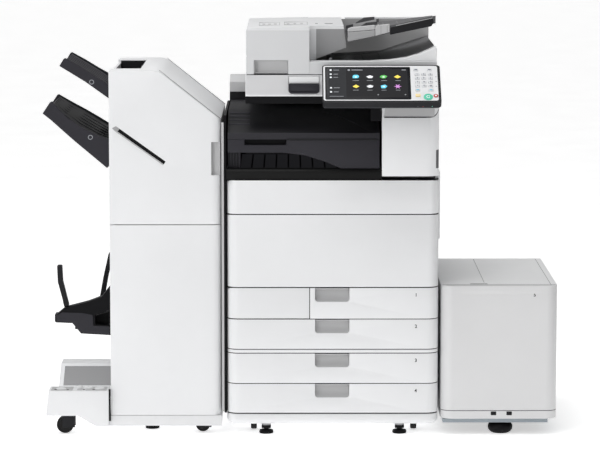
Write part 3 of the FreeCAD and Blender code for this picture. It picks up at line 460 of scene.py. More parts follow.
def screen_picture():
    """A made-up home screen: a side bar with entries and eight plain coloured symbols."""
    inner = ((SCREEN_X[0] + 6, SCREEN_X[1] - 6), (SCREEN_Y[0] + 6, SCREEN_Y[1] - 6))
    on_panel("screen_backdrop", [rect(*inner)], 0.05, UI["dark"])
    bar = (inner[0][0], inner[0][0] + 52)
    on_panel("screen_side_bar", [rect(bar, inner[1])], 0.25, UI["bar"])
    entries, dots = [], []
    for y in (142, 124, 110, 64, 46):
        entries.append(rect((bar[0] + 16, bar[0] + 34 - y % 7), (y - 1.0, y + 1.0)))
        dots.append(rounded((bar[0] + 5, bar[0] + 11), (y - 3, y + 3), 1.5))
    entries.append(rect((bar[0] + 4, bar[0] + 44), (26, 27.5)))
    titles = [rect((bar[1] + 16, bar[1] + 48), (141, 144)),
              rounded((bar[1] + 5, bar[1] + 12), (138.5, 146), 3),
              rect((SCREEN_X[1] - 22, SCREEN_X[1] - 10), (141, 144))]
    symbols = {"cyan": [], "white": [], "green": [], "yellow": [], "purple": []}
    names = (("cyan", "white", "green", "yellow"), ("yellow", "white", "cyan", "purple"))
    for row, y in enumerate((112, 70)):
        for column in range(4):
            x = bar[1] + 28 + 40 * column
            kind = names[row][column]
            if row == 0 and column == 0:
                shape = rounded((x - 9, x + 9), (y - 6, y + 9), (2, 7, 7, 7))
            elif column == 3 and row == 1:
                shape = [(x + r * math.cos(t * math.pi / 6), y + r * math.sin(t * math.pi / 6))
                    for t, r in zip(range(12), (11, 4.5) * 6)]
            elif kind == "yellow":
                shape = [(x - 10, y), (x, y - 7), (x + 10, y), (x, y + 8)]
            elif kind == "green":
                shape = [(x - 11, y - 1), (x - 3, y - 7), (x + 5, y - 6), (x + 11, y + 3), (x + 2, y + 8),
                    (x - 7, y + 6)]
            elif kind == "white":
                shape = [(x - 10, y + 1), (x - 3, y - 6), (x + 7, y - 5), (x + 10, y + 2), (x + 1, y + 7)]
            else:
                shape = [(x - 7, y - 8), (x + 4, y - 8), (x + 10, y + 1), (x + 3, y + 8), (x - 9, y + 3)]
            symbols[kind].append(shape)
            if kind in ("cyan", "green"):
                symbols["white"].append(rounded((x - 3, x + 3), (y - 3, y + 2), 1))
            entries.append(rect((x - 9 + column, x + 9 - row * 2), (y - 17, y - 15.5)))
    for kind, shapes in symbols.items():
        on_panel(f"screen_{kind}_symbols", shapes, 0.5 if kind != "white" else 0.62, UI[kind])
    on_panel("screen_entries", entries, 0.5, UI["text"])
    on_panel("screen_titles", titles, 0.5, UI["text"])
    on_panel("screen_bullets", dots, 0.5, UI["white"])
    on_panel("screen_page_dots", [rounded((x, x + 4), (32, 36), 1.8) for x in (222, 300)], 0.5, UI["text"])


KEY_RISE = 1.6
KEYPAD = [(338 + 19 * column, 123 - 17 * row) for row in range(4) for column in range(3)]


def keypad():
    """Legends on the number keys and plain symbols on the others."""
    ink = plastic("key_ink", (0.16, 0.17, 0.2), rough=0.5, grain=900, bump=0.02, specular=0.2)
    blue = plastic("key_blue", (0.1, 0.42, 0.55), rough=0.4, grain=900, bump=0.02, glow=0.2)
    amber = plastic("key_amber", (0.85, 0.62, 0.12), rough=0.4, grain=900, bump=0.02, glow=0.25)
    top = PANEL_THICK + KEY_RISE
    marks = [(text, (x, y, top + 0.1)) for text, (x, y) in zip("123456789*0#", KEYPAD)]
    lettering("key_numerals", marks, 8.5, ink, "number_keys", place=PANEL_FACE)
    lift = KEY_RISE + 0.05
    for name, y, columns, radius, shade in (("top", 141, (331, 370), 1.8, ink),
                                            ("blue", 52, (334, 372), 1.5, blue)):
        on_panel(f"key_symbols_{name}", [rounded((x, x + 8), (y, y + 4), radius) for x in columns],
                 lift, shade, "number_keys")
    (x0, x1), (y0, y1) = (331.6, 344.4), (24.6, 35.4)
    bars = (((x0, x1), (y0, y0 + 2)), ((x0, x1), (y1 - 2, y1)), ((x0, x0 + 2), (y0, y1)),
            ((x1 - 2, x1), (y0, y1)), ((336.5, 339.5), (28, 32)))
    on_panel("key_symbols_amber", [rounded(x, y, 0.8) for x, y in bars], lift, amber,
             "number_keys")
    ring = arc((367, 24), 5.5, 20, 340) + arc((367, 24), 3.8, 340, 20)
    on_panel("start_symbol", [ring], lift, UI["white"], "start_key")
    on_panel("stop_symbol", [circle(389, 29, 3, 8, math.pi / 8)], lift, UI["white"], "stop_key")
    on_panel("panel_ticks", [rect((390, 394), (y, y + 1.6)) for y in (70, 92, 112)], 0.05, ink,
        thick=0.3)


def panel_edge():
    """Lamps along the panel's dark lower edge, and the tilt arm's cover behind it."""

    def lamp(name, x, look):
        spot = PANEL_FACE @ (Vector((x, 0.2, 8)) * MM) / MM - Vector((0, FRONT, 0))
        lathes(name, [("Y", spot, [(-1.4, 0.6), (-1.2, 2.0), (0.4, 2.3), (1.0, 2.3)])], look, "panel")
    lamp("ready_lamp", 352, UI["red"])
    lamp("data_lamp", 337, UI["text"])
    lamp("power_lamp", 378, plastic("lamp_mint", (0.25, 0.85, 0.62), rough=0.3, grain=900, bump=0.0,
            glow=1.2))
    rim_out = rounded((64.4, 404.6), (-1.6, 164.6), 9)
    rim_in = rounded((66.2, 401.8), (0.2, 162.8), 8)
    make("panel_rim", lambda bm: add_frame(bm, "Z", rim_out, rim_in, (3, 18.4), PANEL_FACE), DARK, 0.5,
        "panel")
    lip_in = rounded((67.6, 396.8), (8.6, 161.6), 7)
    make("panel_lip", lambda bm: add_frame(bm, "Z", rim_out, lip_in, (PANEL_THICK - 3, PANEL_THICK + 0.4),
            PANEL_FACE), DARK, 0.5, "panel")
    make("screen_frame", lambda bm: add_frame(bm, "Z", rounded((72.5, 318.5), (14, 156.5), 3),
            rounded((76, 315), (17, 153), 1.5), (PANEL_THICK - 0.2, PANEL_THICK + 0.35), PANEL_FACE),
        BLACK, 0.15, "panel")
    prism("panel_arm_cover", "X", [(1, 924), (1, 1040), (14.4, 1040), (14.4, 992), (8, 975), (8, 924)],
        (205, 236), BLACK, 3)


screen_picture()
keypad()
panel_edge()

# ---------------------------------------------------------------- main body


# Each drawer front's lower and upper edge.
DRAWERS = {1: (343, 436), 2: (253.5, 343), 3: (152, 242), 4: (63.6, 152)}
SCREW = [(-0.5, 4.2), (0.6, 4.2), (1.4, 3.2), (1.5, 0.6)]


def numerals():
    """Tray numbers near the right of each drawer."""
    ink = plastic("printed_grey", (0.015, 0.015, 0.017), rough=0.6, grain=900, bump=0.0, specular=0.2)
    for number, (bottom, top) in DRAWERS.items():
        lettering(f"drawer_numeral_{number}", [(str(number), (340, -0.15, top - 22))], 14, ink,
            f"drawer_{number}")
    lettering("deck_numeral", [("5", (687, -0.15, 414))], 14, ink, "deck_drawer")


def rounded_front(left, right, radius, outside, inside):
    """A thin plan outline along a front and round both of its corners."""
    path = []
    for inset in (outside, inside):
        run = [(left + inset, radius + 24)]
        run += arc((left + radius, radius), radius - inset, 180, 270)
        run += arc((right - radius, radius), radius - inset, 270, 360)
        run += [(right - inset, radius + 24)]
        path += run if not path else list(reversed(run))
    return path


def front_seams():
    """Black strips in the gaps between the drawers and covers: painted shade that darkens the gaps."""
    line = rounded_front(-214, 406, 36, 0.3, 6)
    for body, levels in (("machine", (63.6, 242, 343, 436, 752)), ("drawer_4", (152,)),
        ("front_door", (651,))):
        prisms(f"seam_shade_of_{body}", [("Z", line, (level - 1.7, level + 1.1)) for level in levels], BLACK,
            0.0, body)
    prisms("strip_seam_shade", [("Z", line, (level - 1.1 - a, level + 1.1 + b))
            for level, a, b in ((253.5, 0.6, 0), (242, 0, 0.6), (63.6, 0.6, 0))], BLACK, 0.0)
    prism("drawer_side_seam_shade", "Y", rect((27.6, 29.8), (344.2, 434.8)), (0.3, 6), BLACK, 0.0)


def drawer_grips():
    """A scooped liner in the finger recess on each drawer front, in a grey that is painted shade on the
    white cover.
    """
    for number, (bottom, top) in DRAWERS.items():
        top -= 1.2
        bottom = top - 41
        scoop = [(25.9, bottom), (25.9, top), (21, top), (19, bottom + 22), (13, bottom + 7),
            (3, bottom + 0.4), (3, bottom)]
        prism(f"grip_liner_{number}", "X", scoop, (45.5, 144), GRIP_SHADE, 1.0, f"drawer_{number}")
        lip = [(2.2, top - 3.3), (2.2, top - 0.2), (20, top - 0.2), (20, top - 7.8)]
        prism(f"grip_lip_{number}", "X", lip, (46, 143.5), GRIP_SHADE, 0.6, f"drawer_{number}")


def cassette_fittings():
    """Lift plate, side guides, end guide and pickup drive inside each drawer."""
    for number, (low, high) in DRAWERS.items():
        left = 44 if number == 1 else -194
        floor = low + 13
        body = f"drawer_{number}"
        prism(f"lift_plate_{number}", "Z", rounded((left + 70, 372), (60, 470), 6), (floor, floor + 1.6),
            STEEL, 0.4, body)
        prisms(f"paper_guides_{number}",
            [("X", [(y, floor + 2), (y + 5, floor + 2), (y + 5, high - 20), (y, high - 20)],
                (left + 60, left + 60 + 140)) for y in (90, 440)], GREY, 0.8, body)
        prism(f"end_guide_{number}", "Y", [(left + 40, floor + 2), (left + 58, floor + 2),
                (left + 46, high - 22), (left + 40, high - 22)], (225, 300), GREY, 0.8, body)
        lathes(f"pickup_drive_{number}",
            [("Y", (386, 200, high - 18), [(0, 3), (0.5, 4), (99.5, 4), (100, 3)])], BRACKET, body)


numerals()
front_seams()
drawer_grips()
cassette_fittings()


def engine_detail():
    """What shows behind the front covers: toner caps, levers, waste bottle and inner cover."""
    colours = (("yellow", (0.75, 0.6, 0.03)), ("magenta", (0.6, 0.05, 0.25)), ("cyan", (0.03, 0.35, 0.6)),
        ("black", (0.02, 0.02, 0.02)))
    for i, (tone, colour) in enumerate(colours):
        x = -140 + 110 * i
        paint = plastic(f"toner_{tone}", colour, rough=0.4, grain=900)
        lathes(f"toner_cap_{tone}",
            [("Y", (x, 60, 697), [(-9, 26), (-8, 29), (-3, 30), (-2, 35), (1, 36.5), (30, 36.5),
                (31, 36)])], paint)
        prisms(f"toner_handle_{tone}", [("Y", rounded((x - 20, x + 20), (692, 702), 4), (44, 52))], paint,
            1.5)
        prism(f"drum_handle_{tone}", "Y", rounded((x - 34, x + 34), (520, 560), 8), (56, 69), GREY, 1.5)
        lathes(f"drum_lever_{tone}", [("Y", (x, 56, 540), [(-7, 6), (-6.5, 8), (-0.5, 8), (0, 10)])],
            paint)
    inner = [("Y", rect((-200, 388), (641, 659)), (41, 47)),
             ("Y", rect((-200, 388), (444, 512)), (52, 58)),
             ("Y", rect((-204, -186), (512, 741)), (46, 58)),
             ("Y", rect((252, 388), (512, 641)), (46, 58))]
    prisms("inner_front_cover", inner, SHADE, 1.2)
    prism("waste_toner_bottle", "Y", rounded((-196, 14), (352, 424), 10), (44, 150), LIGHT, 4)


engine_detail()

# ---------------------------------------------------------------- exit bay and right side


def bay():
    """The dark band under the reader, the bridge's ribs and post, and the bay's back liner, which glows as
    painted light.
    """
    prism("under_reader_band", "X", [(16.5, 973.5), (16.5, 994.6), (22.4, 994.6), (22.4, 984.3),
            (70, 984.3), (70, 973.5)], (-158, 238.5), BLACK, 1.5)

    def slope(amount):
        return 888 + (amount - 12) * 58 / 130
    ribs = [("X", [(at - 3, slope(at - 3)), (at - 1, slope(at) + 3.2), (at + 1, slope(at) + 3.4),
            (at + 5, slope(at + 5))], (-207, -146)) for at in (123, 103, 82, 60)]
    prisms("bridge_ribs", ribs, SLATE, 0.6, "bridge_lid")
    sweep = [(-90, 150), (40, 140), (110, 112), (160, 70), (196, 30)]
    tube("bridge_guide_line", [(x, at, slope(min(at, 142)) - 0.1) for x, at in sweep], 1.0, DARK,
        "bridge_lid")
    prisms("bridge_post_ribs", [("Y", rect((x, x + 3.4), (786, 828)), (29.5, 33))
            for x in (-207, -199, -191, -183)], DARK, 0.5)
    prism("bridge_lip", "X", [(10.4, 866.5), (9.6, 869), (10.4, 871.5), (13, 871.5), (13, 866.5)],
        (-36, 228), DARK, 0.4)
    prism("bridge_grip", "Y", rounded((-160.5, -39.5), (853.4, 868), (10, 10, 1, 1)), (28, 29.6),
        BLACK, 0.3)
    # The bay's back liner glows: painted light on a back wall that lies in shadow.
    prism("bay_back_liner", "Y", rect((-165, 236), (778, 970)), (526, 528),
        plastic("bay_back_painted_glow", (0.02, 0.02, 0.022), rough=0.5, grain=900, specular=0.1, glow=0.55), 0.4)
    prisms("exit_tray_ribs",
        [("Y", [(x, 776.4), (x + 5, 776.4), (x + 3.8, 779.5), (x + 1.2, 779.5)], (66, 500))
            for x in range(-180, 120, 36)], SLATE, 0.4)


def right_side_detail():
    """Groove, grip and door furniture on the right, and painted shade under the touch panel in the cover's
    recess.
    """
    tube("cover_groove", [(245, -0.2, 935), (330, -0.2, 935), (376, 0.2, 935), (390, 5.6, 937),
            (399, 14.6, 945), (403.5, 24, 956)], 1.5, DARK)
    # A grey plate in the cover's recess: painted shade cast by the touch panel above.
    prism("cover_recess_shade", "Y", rounded((247, 391), (937, 962), 4), (0.7, 1.5), LIGHT, 0.3)
    bend = (370, 36)
    prism("right_cover_grip", "Z", arc(bend, 36.5, 318, 345) + arc(bend, 34, 345, 318), (785, 839), GREY,
        0.3)
    prisms("right_door_grip", [("X", rounded((70, 118), (850, 930), 8), (406, 407.6)),
            ("X", rounded((80, 108), (860, 905), 5), (407.6, 408.4))], SHADE, 0.8, "right_door")
    prism("bypass_grip", "X", rounded((270, 350), (738, 752), 5), (415.6, 417.2), SHADE, 0.8,
        "bypass")
    prisms("bypass_hatching", [("X", rect((165, 455), (z, z + 1.6)), (415.6, 416.2))
            for z in range(580, 725, 24)], LIGHT, 0.2, "bypass")
    prisms("right_cover_vents", [("X", rounded((y, y + 60), (z, z + 3.2), 1.5), (405.8, 406.4))
            for y in (120, 200, 280, 360) for z in range(100, 180, 9)], DARK, 0.2)


def rear_detail():
    """Vents, screws, inlet and sockets on the back."""
    back = 620
    slats = [("Y", rounded((x, x + 70), (z, z + 4), 1.8), (back - 0.6, back + 0.7))
        for x in (-170, -80, 10) for z in range(640, 760, 9)]
    slats += [("Y", rounded((x, x + 56), (z, z + 4), 1.8), (back - 0.6, back + 0.7)) for x in (230, 300)
        for z in range(130, 210, 9)]
    prisms("rear_vents", slats, DARK, 0.3)
    screws = [(x, z) for x in (-200, 96, 392) for z in (80, 300, 520, 740, 960)]
    lathes("rear_screws", [("Y", (x, back, z), SCREW)
            for x, z in screws], BRACKET)
    prism("rear_seam", "Y", rect((-213, 405), (430, 432.4)), (back - 0.5, back + 0.3), SHADE, 0.2)
    prism("socket_plate", "Y", rounded((-190, -70), (460, 600), 6), (back - 0.5, back + 1.2), SHADE, 0.8)
    ports = (((-178, -160), (560, 576), 1.5), ((-150, -136), (560, 567), 1),
             ((-126, -112), (560, 567), 1), ((-178, -150), (520, 528), 1.5))
    prisms("sockets", [("Y", rounded(*port), (back + 1, back + 1.8)) for port in ports], BLACK, 0.3)
    rim, well = rounded((-160, -110), (90, 124), 5), rounded((-150, -120), (97, 117), 3)
    make("power_inlet", lambda bm: (add_frame(bm, "Y", rim, well, (back - 0.4, back + 2.2)),
                                    add_prism(bm, "Y", well, (back - 0.4, back + 0.5))), BLACK, 0.5)
    for name, x, back, top in (("finisher", -392, 620, 1000), ("deck", 585, 612, 420)):
        prisms(f"{name}_rear_vents",
               [("Y", rounded((x - 60, x + 60), (z, z + 4), 1.8), (back - 0.5, back + 0.7))
                for z in range(top - 120, top - 40, 9)], DARK, 0.3)
        lathes(f"{name}_rear_screws", [("Y", (x + dx, back, z), SCREW) for dx in (-130, 130)
                                       for z in (90, min(top - 20, 880))], BRACKET)


bay()
right_side_detail()
rear_detail()

# ---------------------------------------------------------------- reader and feeder


def reader_detail():
    """Gasket, front edge, port flap and cup, and the lamp under the glass."""
    front = 15
    prism("reader_gasket", "Y", rect((-155, 397), (1056.9, 1059.1)), (front + 1, front + 12), BLACK, 0.2)
    prism("reader_bright_edge", "X", [(front - 0.8, 995.4), (front - 0.8, 999.4), (front + 1, 1001),
            (front + 1, 995.4)], (-157, 66), WHITE, 0.4)
    prism("port_flap", "X", [(front - 1.2, 1031), (front - 1.2, 1051), (front + 1.5, 1053.4),
            (front + 6, 1053.4), (front + 6, 1031)], (-31.5, 55.5), WHITE, 1.0)
    outer = rounded((-33, 57), (1003, 1030.4), (11, 11, 1, 1))
    inner = rounded((-28.5, 52.5), (1008, 1026), (8, 8, 1, 1))
    make("port_cup", lambda bm: (add_frame(bm, "Y", outer, inner, (front - 8.4, front + 6)),
            add_prism(bm, "Y", inner, (front - 4, front + 6))), SLATE, 1.2)
    prisms("port_tabs", [("Y", rect((x, x + 5), (996, 1002.6)), (front - 1, front + 1))
            for x in (-23, 42)], WHITE, 0.5)
    prism("reader_scale_strip", "Z", rect((-126, 368), (52, 60)), (1057, 1057.5), SHADE, 0.1)
    lathes("carriage_lamp", [("Y", (-95, 66, 1041), [(0, 2.5), (1, 4), (404, 4), (405, 2.5)])], UI["white"],
        "carriage")


def feeder_detail():
    """The feeder's front skin, lift recess, top marks, output tray and rollers."""
    front = 15
    skin = [(-155.4, 1062), (-133.6, 1062), (-133.6, 1100.6), (-33.4, 1100.6), (-33.4, 1062),
        (27.4, 1062), (27.4, 1189)]
    skin += arc((-143, 1178), 12, 90, 180)
    prism("feeder_front_skin", "Y", skin, (front - 1.6, front - 0.05), FEEDER_LIT_SHADED, 0.6, "feeder_cover")
    prism("feeder_lift_liner", "X", [(front + 2, 1062), (front + 12, 1066), (front + 14.5, 1075),
            (front + 14.5, 1098.5), (front + 15.9, 1098.5), (front + 15.9, 1060)], (-132.5, -34.5), LIGHT,
        1.0, "feeder")
    prism("feeder_lift_shadow", "Y", rect((-132.7, -129.5), (1062, 1098)), (front + 0.5, front + 14),
        SHADE, 0.4, "feeder")
    top = 1196
    lines = []
    for x0, x1 in ((-120, -58), (-46, 24)):
        lines += [rect((x0, x1), (150, 154)), rect((x0, x1), (300, 304)),
            rect((x0, x0 + 2.4), (150, 304)), rect((x1 - 2.4, x1), (150, 304))]
    lines += [rect((-110 + 17 * i, -102 + 17 * i), (190, 250)) for i in range(3)]
    lines += [rect((-38 + 20 * i, -30 + 20 * i), (190, 250)) for i in range(3)]

    def crown(x):
        return top - 4 * (28 - x) / 184 if x < 28 else top
    make("feeder_top_marks",
        lambda bm: [add_prism(bm, "Z", o, (crown(o[0][0]) - 0.6, crown(o[1][0]) + 0.25)) for o in lines],
        LIGHT, 0.0, "feeder_cover")
    prisms("feeder_lamps", [("Z", rounded((46, 54), (200, 214), 3), (top - 0.5, top + 0.5)),
            ("Z", rounded((74, 98), (196, 216), 4), (top - 0.5, top + 0.4))], GREY, 0.2, "feeder_cover")
    floor = [(52, 1078), (110, 1079), (190, 1083), (260, 1092), (320, 1108), (370, 1128), (392, 1141)]
    sheet = floor + [(x, z - 4) for x, z in reversed(floor)]
    prism("feeder_output_tray", "Y", sheet, (81.5, 548), SLATEGREY, 1.0, "feeder")
    prisms("feeder_tray_ribs",
        [("Y", [(x, z + 0.2), (x + 4, z + 0.4), (x + 3, z + 3), (x + 1, z + 3)], (100, 540))
            for x, z in ((140, 1080), (190, 1083), (240, 1089))], SLATEGREY, 0.4, "feeder")
    rail = [(205, 1096.2), (260, 1099), (310, 1106), (350, 1117), (384, 1133), (390, 1137),
            (397.4, 1137), (397.4, 1096.2)]
    prism("feeder_right_wedge", "Y", rail, (34, 79.5), WHITE, 1.5, "feeder")
    lathes("separation_rollers", [("Y", (x, y, 1088), [(0, 6), (0.6, 9), (39.4, 9), (40, 6)])
            for x in (-110, -60) for y in (150, 250, 350)], ROLLER, "feeder")
    lathes("feeder_shafts", [("Y", (x, 50, 1088), [(0, 2.4), (0.4, 3), (515, 3), (515.4, 2.4)])
            for x in (-110, -60)], BRACKET, "feeder")


def document_tray_detail():
    """The tray's two pale blocks, its dark end rail, the end knob, the guide fences and the bed ribs."""
    near, far = 66.5, 86

    def low(x):
        return 1150 + (x - 144) * 54 / 252
    prism("tray_block_lower", "Y", [(140, low(143) + 1), (219, low(219) + 1), (219, 1184), (140, 1178)],
        (near, far), PALE, 1.5, "document_tray")
    prism("tray_block_upper", "Y", [(140, 1179), (219, 1185.2), (219, 1199), (150, 1192), (140, 1188)],
        (near + 3, far), PALER, 2.0, "document_tray")
    prism("tray_block_end", "Y", [(220, low(220) + 1), (262, low(262) + 3), (262, 1202), (226, 1198),
            (220, 1190)], (near + 1, far), PALER, 1.5, "document_tray")
    prisms("tray_block_seams",
        [("Y", [(x, low(x) + 2), (x + 1.4, low(x) + 2), (x + 1.4, 1198), (x, 1198)],
            (near + 0.4, near + 3)) for x in (236, 254)], SHADE, 0.2, "document_tray")
    prism("tray_end_rail", "Y", [(263, low(263) - 5), (384, low(384) - 6), (391, low(386) + 6),
            (388, low(386) + 17), (265, low(263) + 17)], (near, far), DARK, 2.5, "document_tray")
    prism("tray_end_edge", "Y", [(280, low(280) + 17.2), (387, low(387) + 16.6), (387, low(387) + 18.2),
            (280, low(280) + 18.8)], (near + 2, far), LIGHT, 0.4, "document_tray")
    lathes("tray_end_knob", [("Z", (388, 96, 1214), [(-4, 5), (2, 5), (6, 4), (9, 2.4)])], GREY,
        "document_tray")
    # The feeder's back liner glows: painted light on the rear wall in the document tray's shadow.
    prism("feeder_back_liner", "Y", [(56, 1084), (250, 1095), (397, 1142), (397, 1192), (56, 1192)],
        (548.4, 549.6), plastic("feeder_liner_painted_glow", (0.3, 0.3, 0.303), rough=0.5, grain=900, specular=0.15,
            glow=0.22), 0.4, "feeder")
    for name, at, body in (("front", 165, "front_guide"), ("rear", 448, "rear_guide")):
        side = [(166, 1170), (230, 1183), (228, 1204), (196, 1201), (172, 1186)]
        prism(f"{name}_guide_fence", "Y", side, (at + 1, at + 4), GREY, 0.8, body)
    prisms("tray_bed_ribs",
        [("Y", [(x, low(x) + 12.2), (x + 5, low(x + 5) + 12.2), (x + 4, low(x + 4) + 13.4),
            (x + 1, low(x + 1) + 13.4)], (100, 440 - (x - 240) * 1.3)) for x in (250, 290, 330)],
        SLATEGREY, 0.3, "document_tray")


reader_detail()
feeder_detail()
document_tray_detail()

# ---------------------------------------------------------------- finisher and its trays


def finisher_detail():
    """The finisher's slot, notch, crown, seams and inner frames, with painted shade on the slot's lip and
    at the joint with the main body.
    """
    face = 10
    prism("slot_dark", "Y", [(-538, 898.5), (-533, 907.5), (-391, 805.6), (-396, 797.2)],
        (face - 0.4, face + 15.5), BLACK, 0.2, "finisher_upper_door")
    # The slot's lower lip is light grey: painted shade on the chamfer of the white door.
    tube("slot_lip_shade", [(-540, face - 0.6, 897), (-500, face - 1.2, 868.5), (-450, face - 1.2, 833),
            (-398, face - 0.4, 795.6)], 1.5, LIGHT, "finisher_upper_door")
    prism("slot_flare", "Y", [(-546, 903), (-535, 908.5), (-524, 901), (-530, 893), (-540, 896)],
        (face - 1.4, face + 0.5), PALE, 1.2, "finisher_upper_door")
    prism("notch_liner", "Y", rect((-257.4, -232), (766, 861)), (face + 12.6, face + 13.9), LIGHT, 0.3,
        "finisher_upper_door")
    prism("notch_edge", "Y", rect((-257.8, -254), (766, 861)), (face + 3, face + 12.6), SHADE, 0.4,
        "finisher_upper_door")
    prism("crown_floor", "Z", rounded((-546.5, -467.6), (121, 512), 4), (1040, 1044), BLACK, 0.6)
    prisms("crown_walls", [("Z", rect((-546.5, -467.6), (508, 512.6)), (1044, 1066)),
            ("Z", rect((-546.5, -467.6), (120.6, 125)), (1044, 1066)),
            ("Z", rect((-471.6, -467.4), (124, 509)), (1044, 1066))], DARK, 0.8)
    # A grey strip and a black fill where the finisher meets the main body: painted shade at the joint.
    prism("docking_strip_shade", "X", rect((13, 34), (66, 918)), (-228.6, -221.5), LIGHT, 0.8)
    prism("docking_gap_shade", "X", rect((16, 560), (62, 940)), (-221.4, -214.6), BLACK, 0.5)
    prisms("finisher_slope_seams",
        [("Y", [(-410, 1069.2), (-408, 1069.2), (-228.8, 927), (-230.6, 925.4)], (at, at + 1.4))
            for at in (41.2, 596)], SHADE, 0.0)
    lathes("jam_knobs", [("Y", (x, 62, z), [(-14, 11), (-13, 14), (-3, 14), (-2, 8), (8, 8)])
            for x, z in ((-470, 760), (-330, 700), (-400, 480), (-300, 300))],
        plastic("knob_green", (0.05, 0.3, 0.16), rough=0.4, grain=900))
    prisms("finisher_inner_frames", [("Y", rect((-540, -245), (z, z + 16)), (60, 66))
            for z in (120, 420, 640, 900)], STEEL, 0.8)
    prisms("exit_rollers_frame", [("Y", rect((-551, -545), (z, z + 5)), (112, 372)) for z in (1034, 886)],
        DARK, 0.8)


def ring_mark(name, x, z, y, body):
    """A small printed ring on a tray's front side, in the screen's text material, which glows faintly as
    painted light.
    """
    ring = circle(x, z, 7, 24), circle(x, z, 5.2, 24)
    make(name, lambda bm: add_frame(bm, "Y", *ring, (y - 0.35, y + 0.3)), UI["text"], 0, body)


def add_loft(bm, near, far, span):
    """A solid between two outlines of as many points, one in front of the other."""
    front, back = (add_ring(bm, "Y", outline, y, None) for outline, y in zip((near, far), span))
    bm.faces.new(front)
    bm.faces.new(list(reversed(back)))
    for i in range(len(near)):
        j = (i + 1) % len(near)
        bm.faces.new((front[j], front[i], back[i], back[j]))


def output_tray(name, node, body, tone, mark, under, near_rail, near_bed, far_rail, far_bed):
    """A tray with side walls in front and behind and a sunken bed between them."""
    near, far, wall = 100, 385, 7
    tray = prisms(name, [("Y", under + near_rail, (near, near + wall)),
                         ("Y", under + far_rail, (far - wall, far))], SLATE, 1.6, body)
    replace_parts(tray, node)
    span = (near + wall - 0.5, far - wall + 0.5)
    bed = make(f"{name}_bed", lambda bm: add_loft(bm, under + near_bed, under + far_bed, span), tone, 1.0,
               body)
    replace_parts(bed, node)
    grooves = []
    for at in range(150, 360, 42):
        share = (at - near) / (far - near)
        line = [(a + (c - a) * share, b + (d - b) * share) for (a, b), (c, d) in zip(near_bed, far_bed)]
        strip = [(a, b - 1.5) for a, b in line] + [(a, b + 1.6) for a, b in reversed(line)]
        grooves.append(("Y", strip, (at, at + 5)))
    prisms(f"{name}_ribs", grooves, tone, 0.4, body)
    ring_mark(f"{name}_mark", *mark, near, body)


finisher_detail()
UPPER_BED = [(-557, 1015), (-600, 1044), (-645, 1071.5), (-686, 1096)]
output_tray(
    "upper_tray_shell", "upper_output_tray", "upper_tray", SLATE, (-610, 1030.5),
    under=[(-704.5, 1077.6), (-628.5, 1031), (-557, 979.6)],
    near_rail=[(-557, 1021), (-580, 1036), (-605, 1051), (-646, 1077), (-687, 1101), (-692, 1098)],
    near_bed=UPPER_BED,
    far_rail=[(-557, 1023), (-578, 1038.5), (-605, 1053.5), (-646, 1078.5), (-687, 1101), (-692, 1098)],
    far_bed=UPPER_BED)
output_tray(
    "lower_tray_shell", "lower_output_tray", "lower_tray", DARK, (-615, 868),
    under=[(-755, 938), (-731, 919), (-700, 891), (-662, 857), (-567, 777), (-557, 786)],
    near_rail=[(-557, 861.5), (-590, 872), (-618, 885), (-652, 904), (-684, 927.5), (-706, 950),
               (-726.7, 974), (-733, 971)],
    near_bed=[(-557, 857), (-600, 874), (-650, 902), (-690, 934), (-722, 966)],
    far_rail=[(-557, 874), (-570, 882), (-607, 905), (-644, 926.6), (-690, 951.5), (-728, 973.5),
              (-733, 971)],
    far_bed=[(-557, 868), (-600, 894), (-644, 921), (-690, 946), (-724, 967)])


def booklet_detail():
    """Ribs, front cheek and end lip of the booklet tray, and caps on its stops."""
    near = 60
    prisms("booklet_bed_ribs",
        [("Y", [(-660, 314), (-606, 336), (-560, 349.5), (-560, 352.6), (-606, 339.8), (-660, 317.8)],
            (at, at + 6)) for at in range(112, 370, 50)], SLATE, 0.5)
    prism("booklet_cheek", "Y", [(-716, 326), (-671, 324), (-645, 293), (-560, 288), (-560, 312),
            (-608, 314), (-610, 346), (-640, 352), (-700, 354), (-714, 346)], (near - 1.2, near + 1),
        SLATE, 1.2)
    prism("booklet_end_lip", "Y", rounded((-722, -690), (324, 350), 5), (near + 2, near + 38), SLATE, 3)
    outline = [(-714.4, 492.4), (-712.4, 443), (-699.4, 392.8), (-694.6, 369.2), (-679.8, 372.8),
        (-685.6, 396.4), (-697.6, 446.2), (-699.6, 492.4)]
    prism("booklet_stop_near", "Y", outline, (near + 5, near + 33), DARK, 3.5, "booklet_arms")
    far = [(-612.4, 336), (-596.6, 338), (-582.6, 416.6), (-566.8, 484), (-571.6, 491.4), (-581, 489),
        (-597.4, 417.4)]
    prism("booklet_stop_far", "Y", far, (375, 395), DARK, 3.5)
    lathes("booklet_stop_pivot", [("Y", (-604, 372, 345), [(0, 5), (0.8, 7), (24, 7), (25, 5)])], GREY)


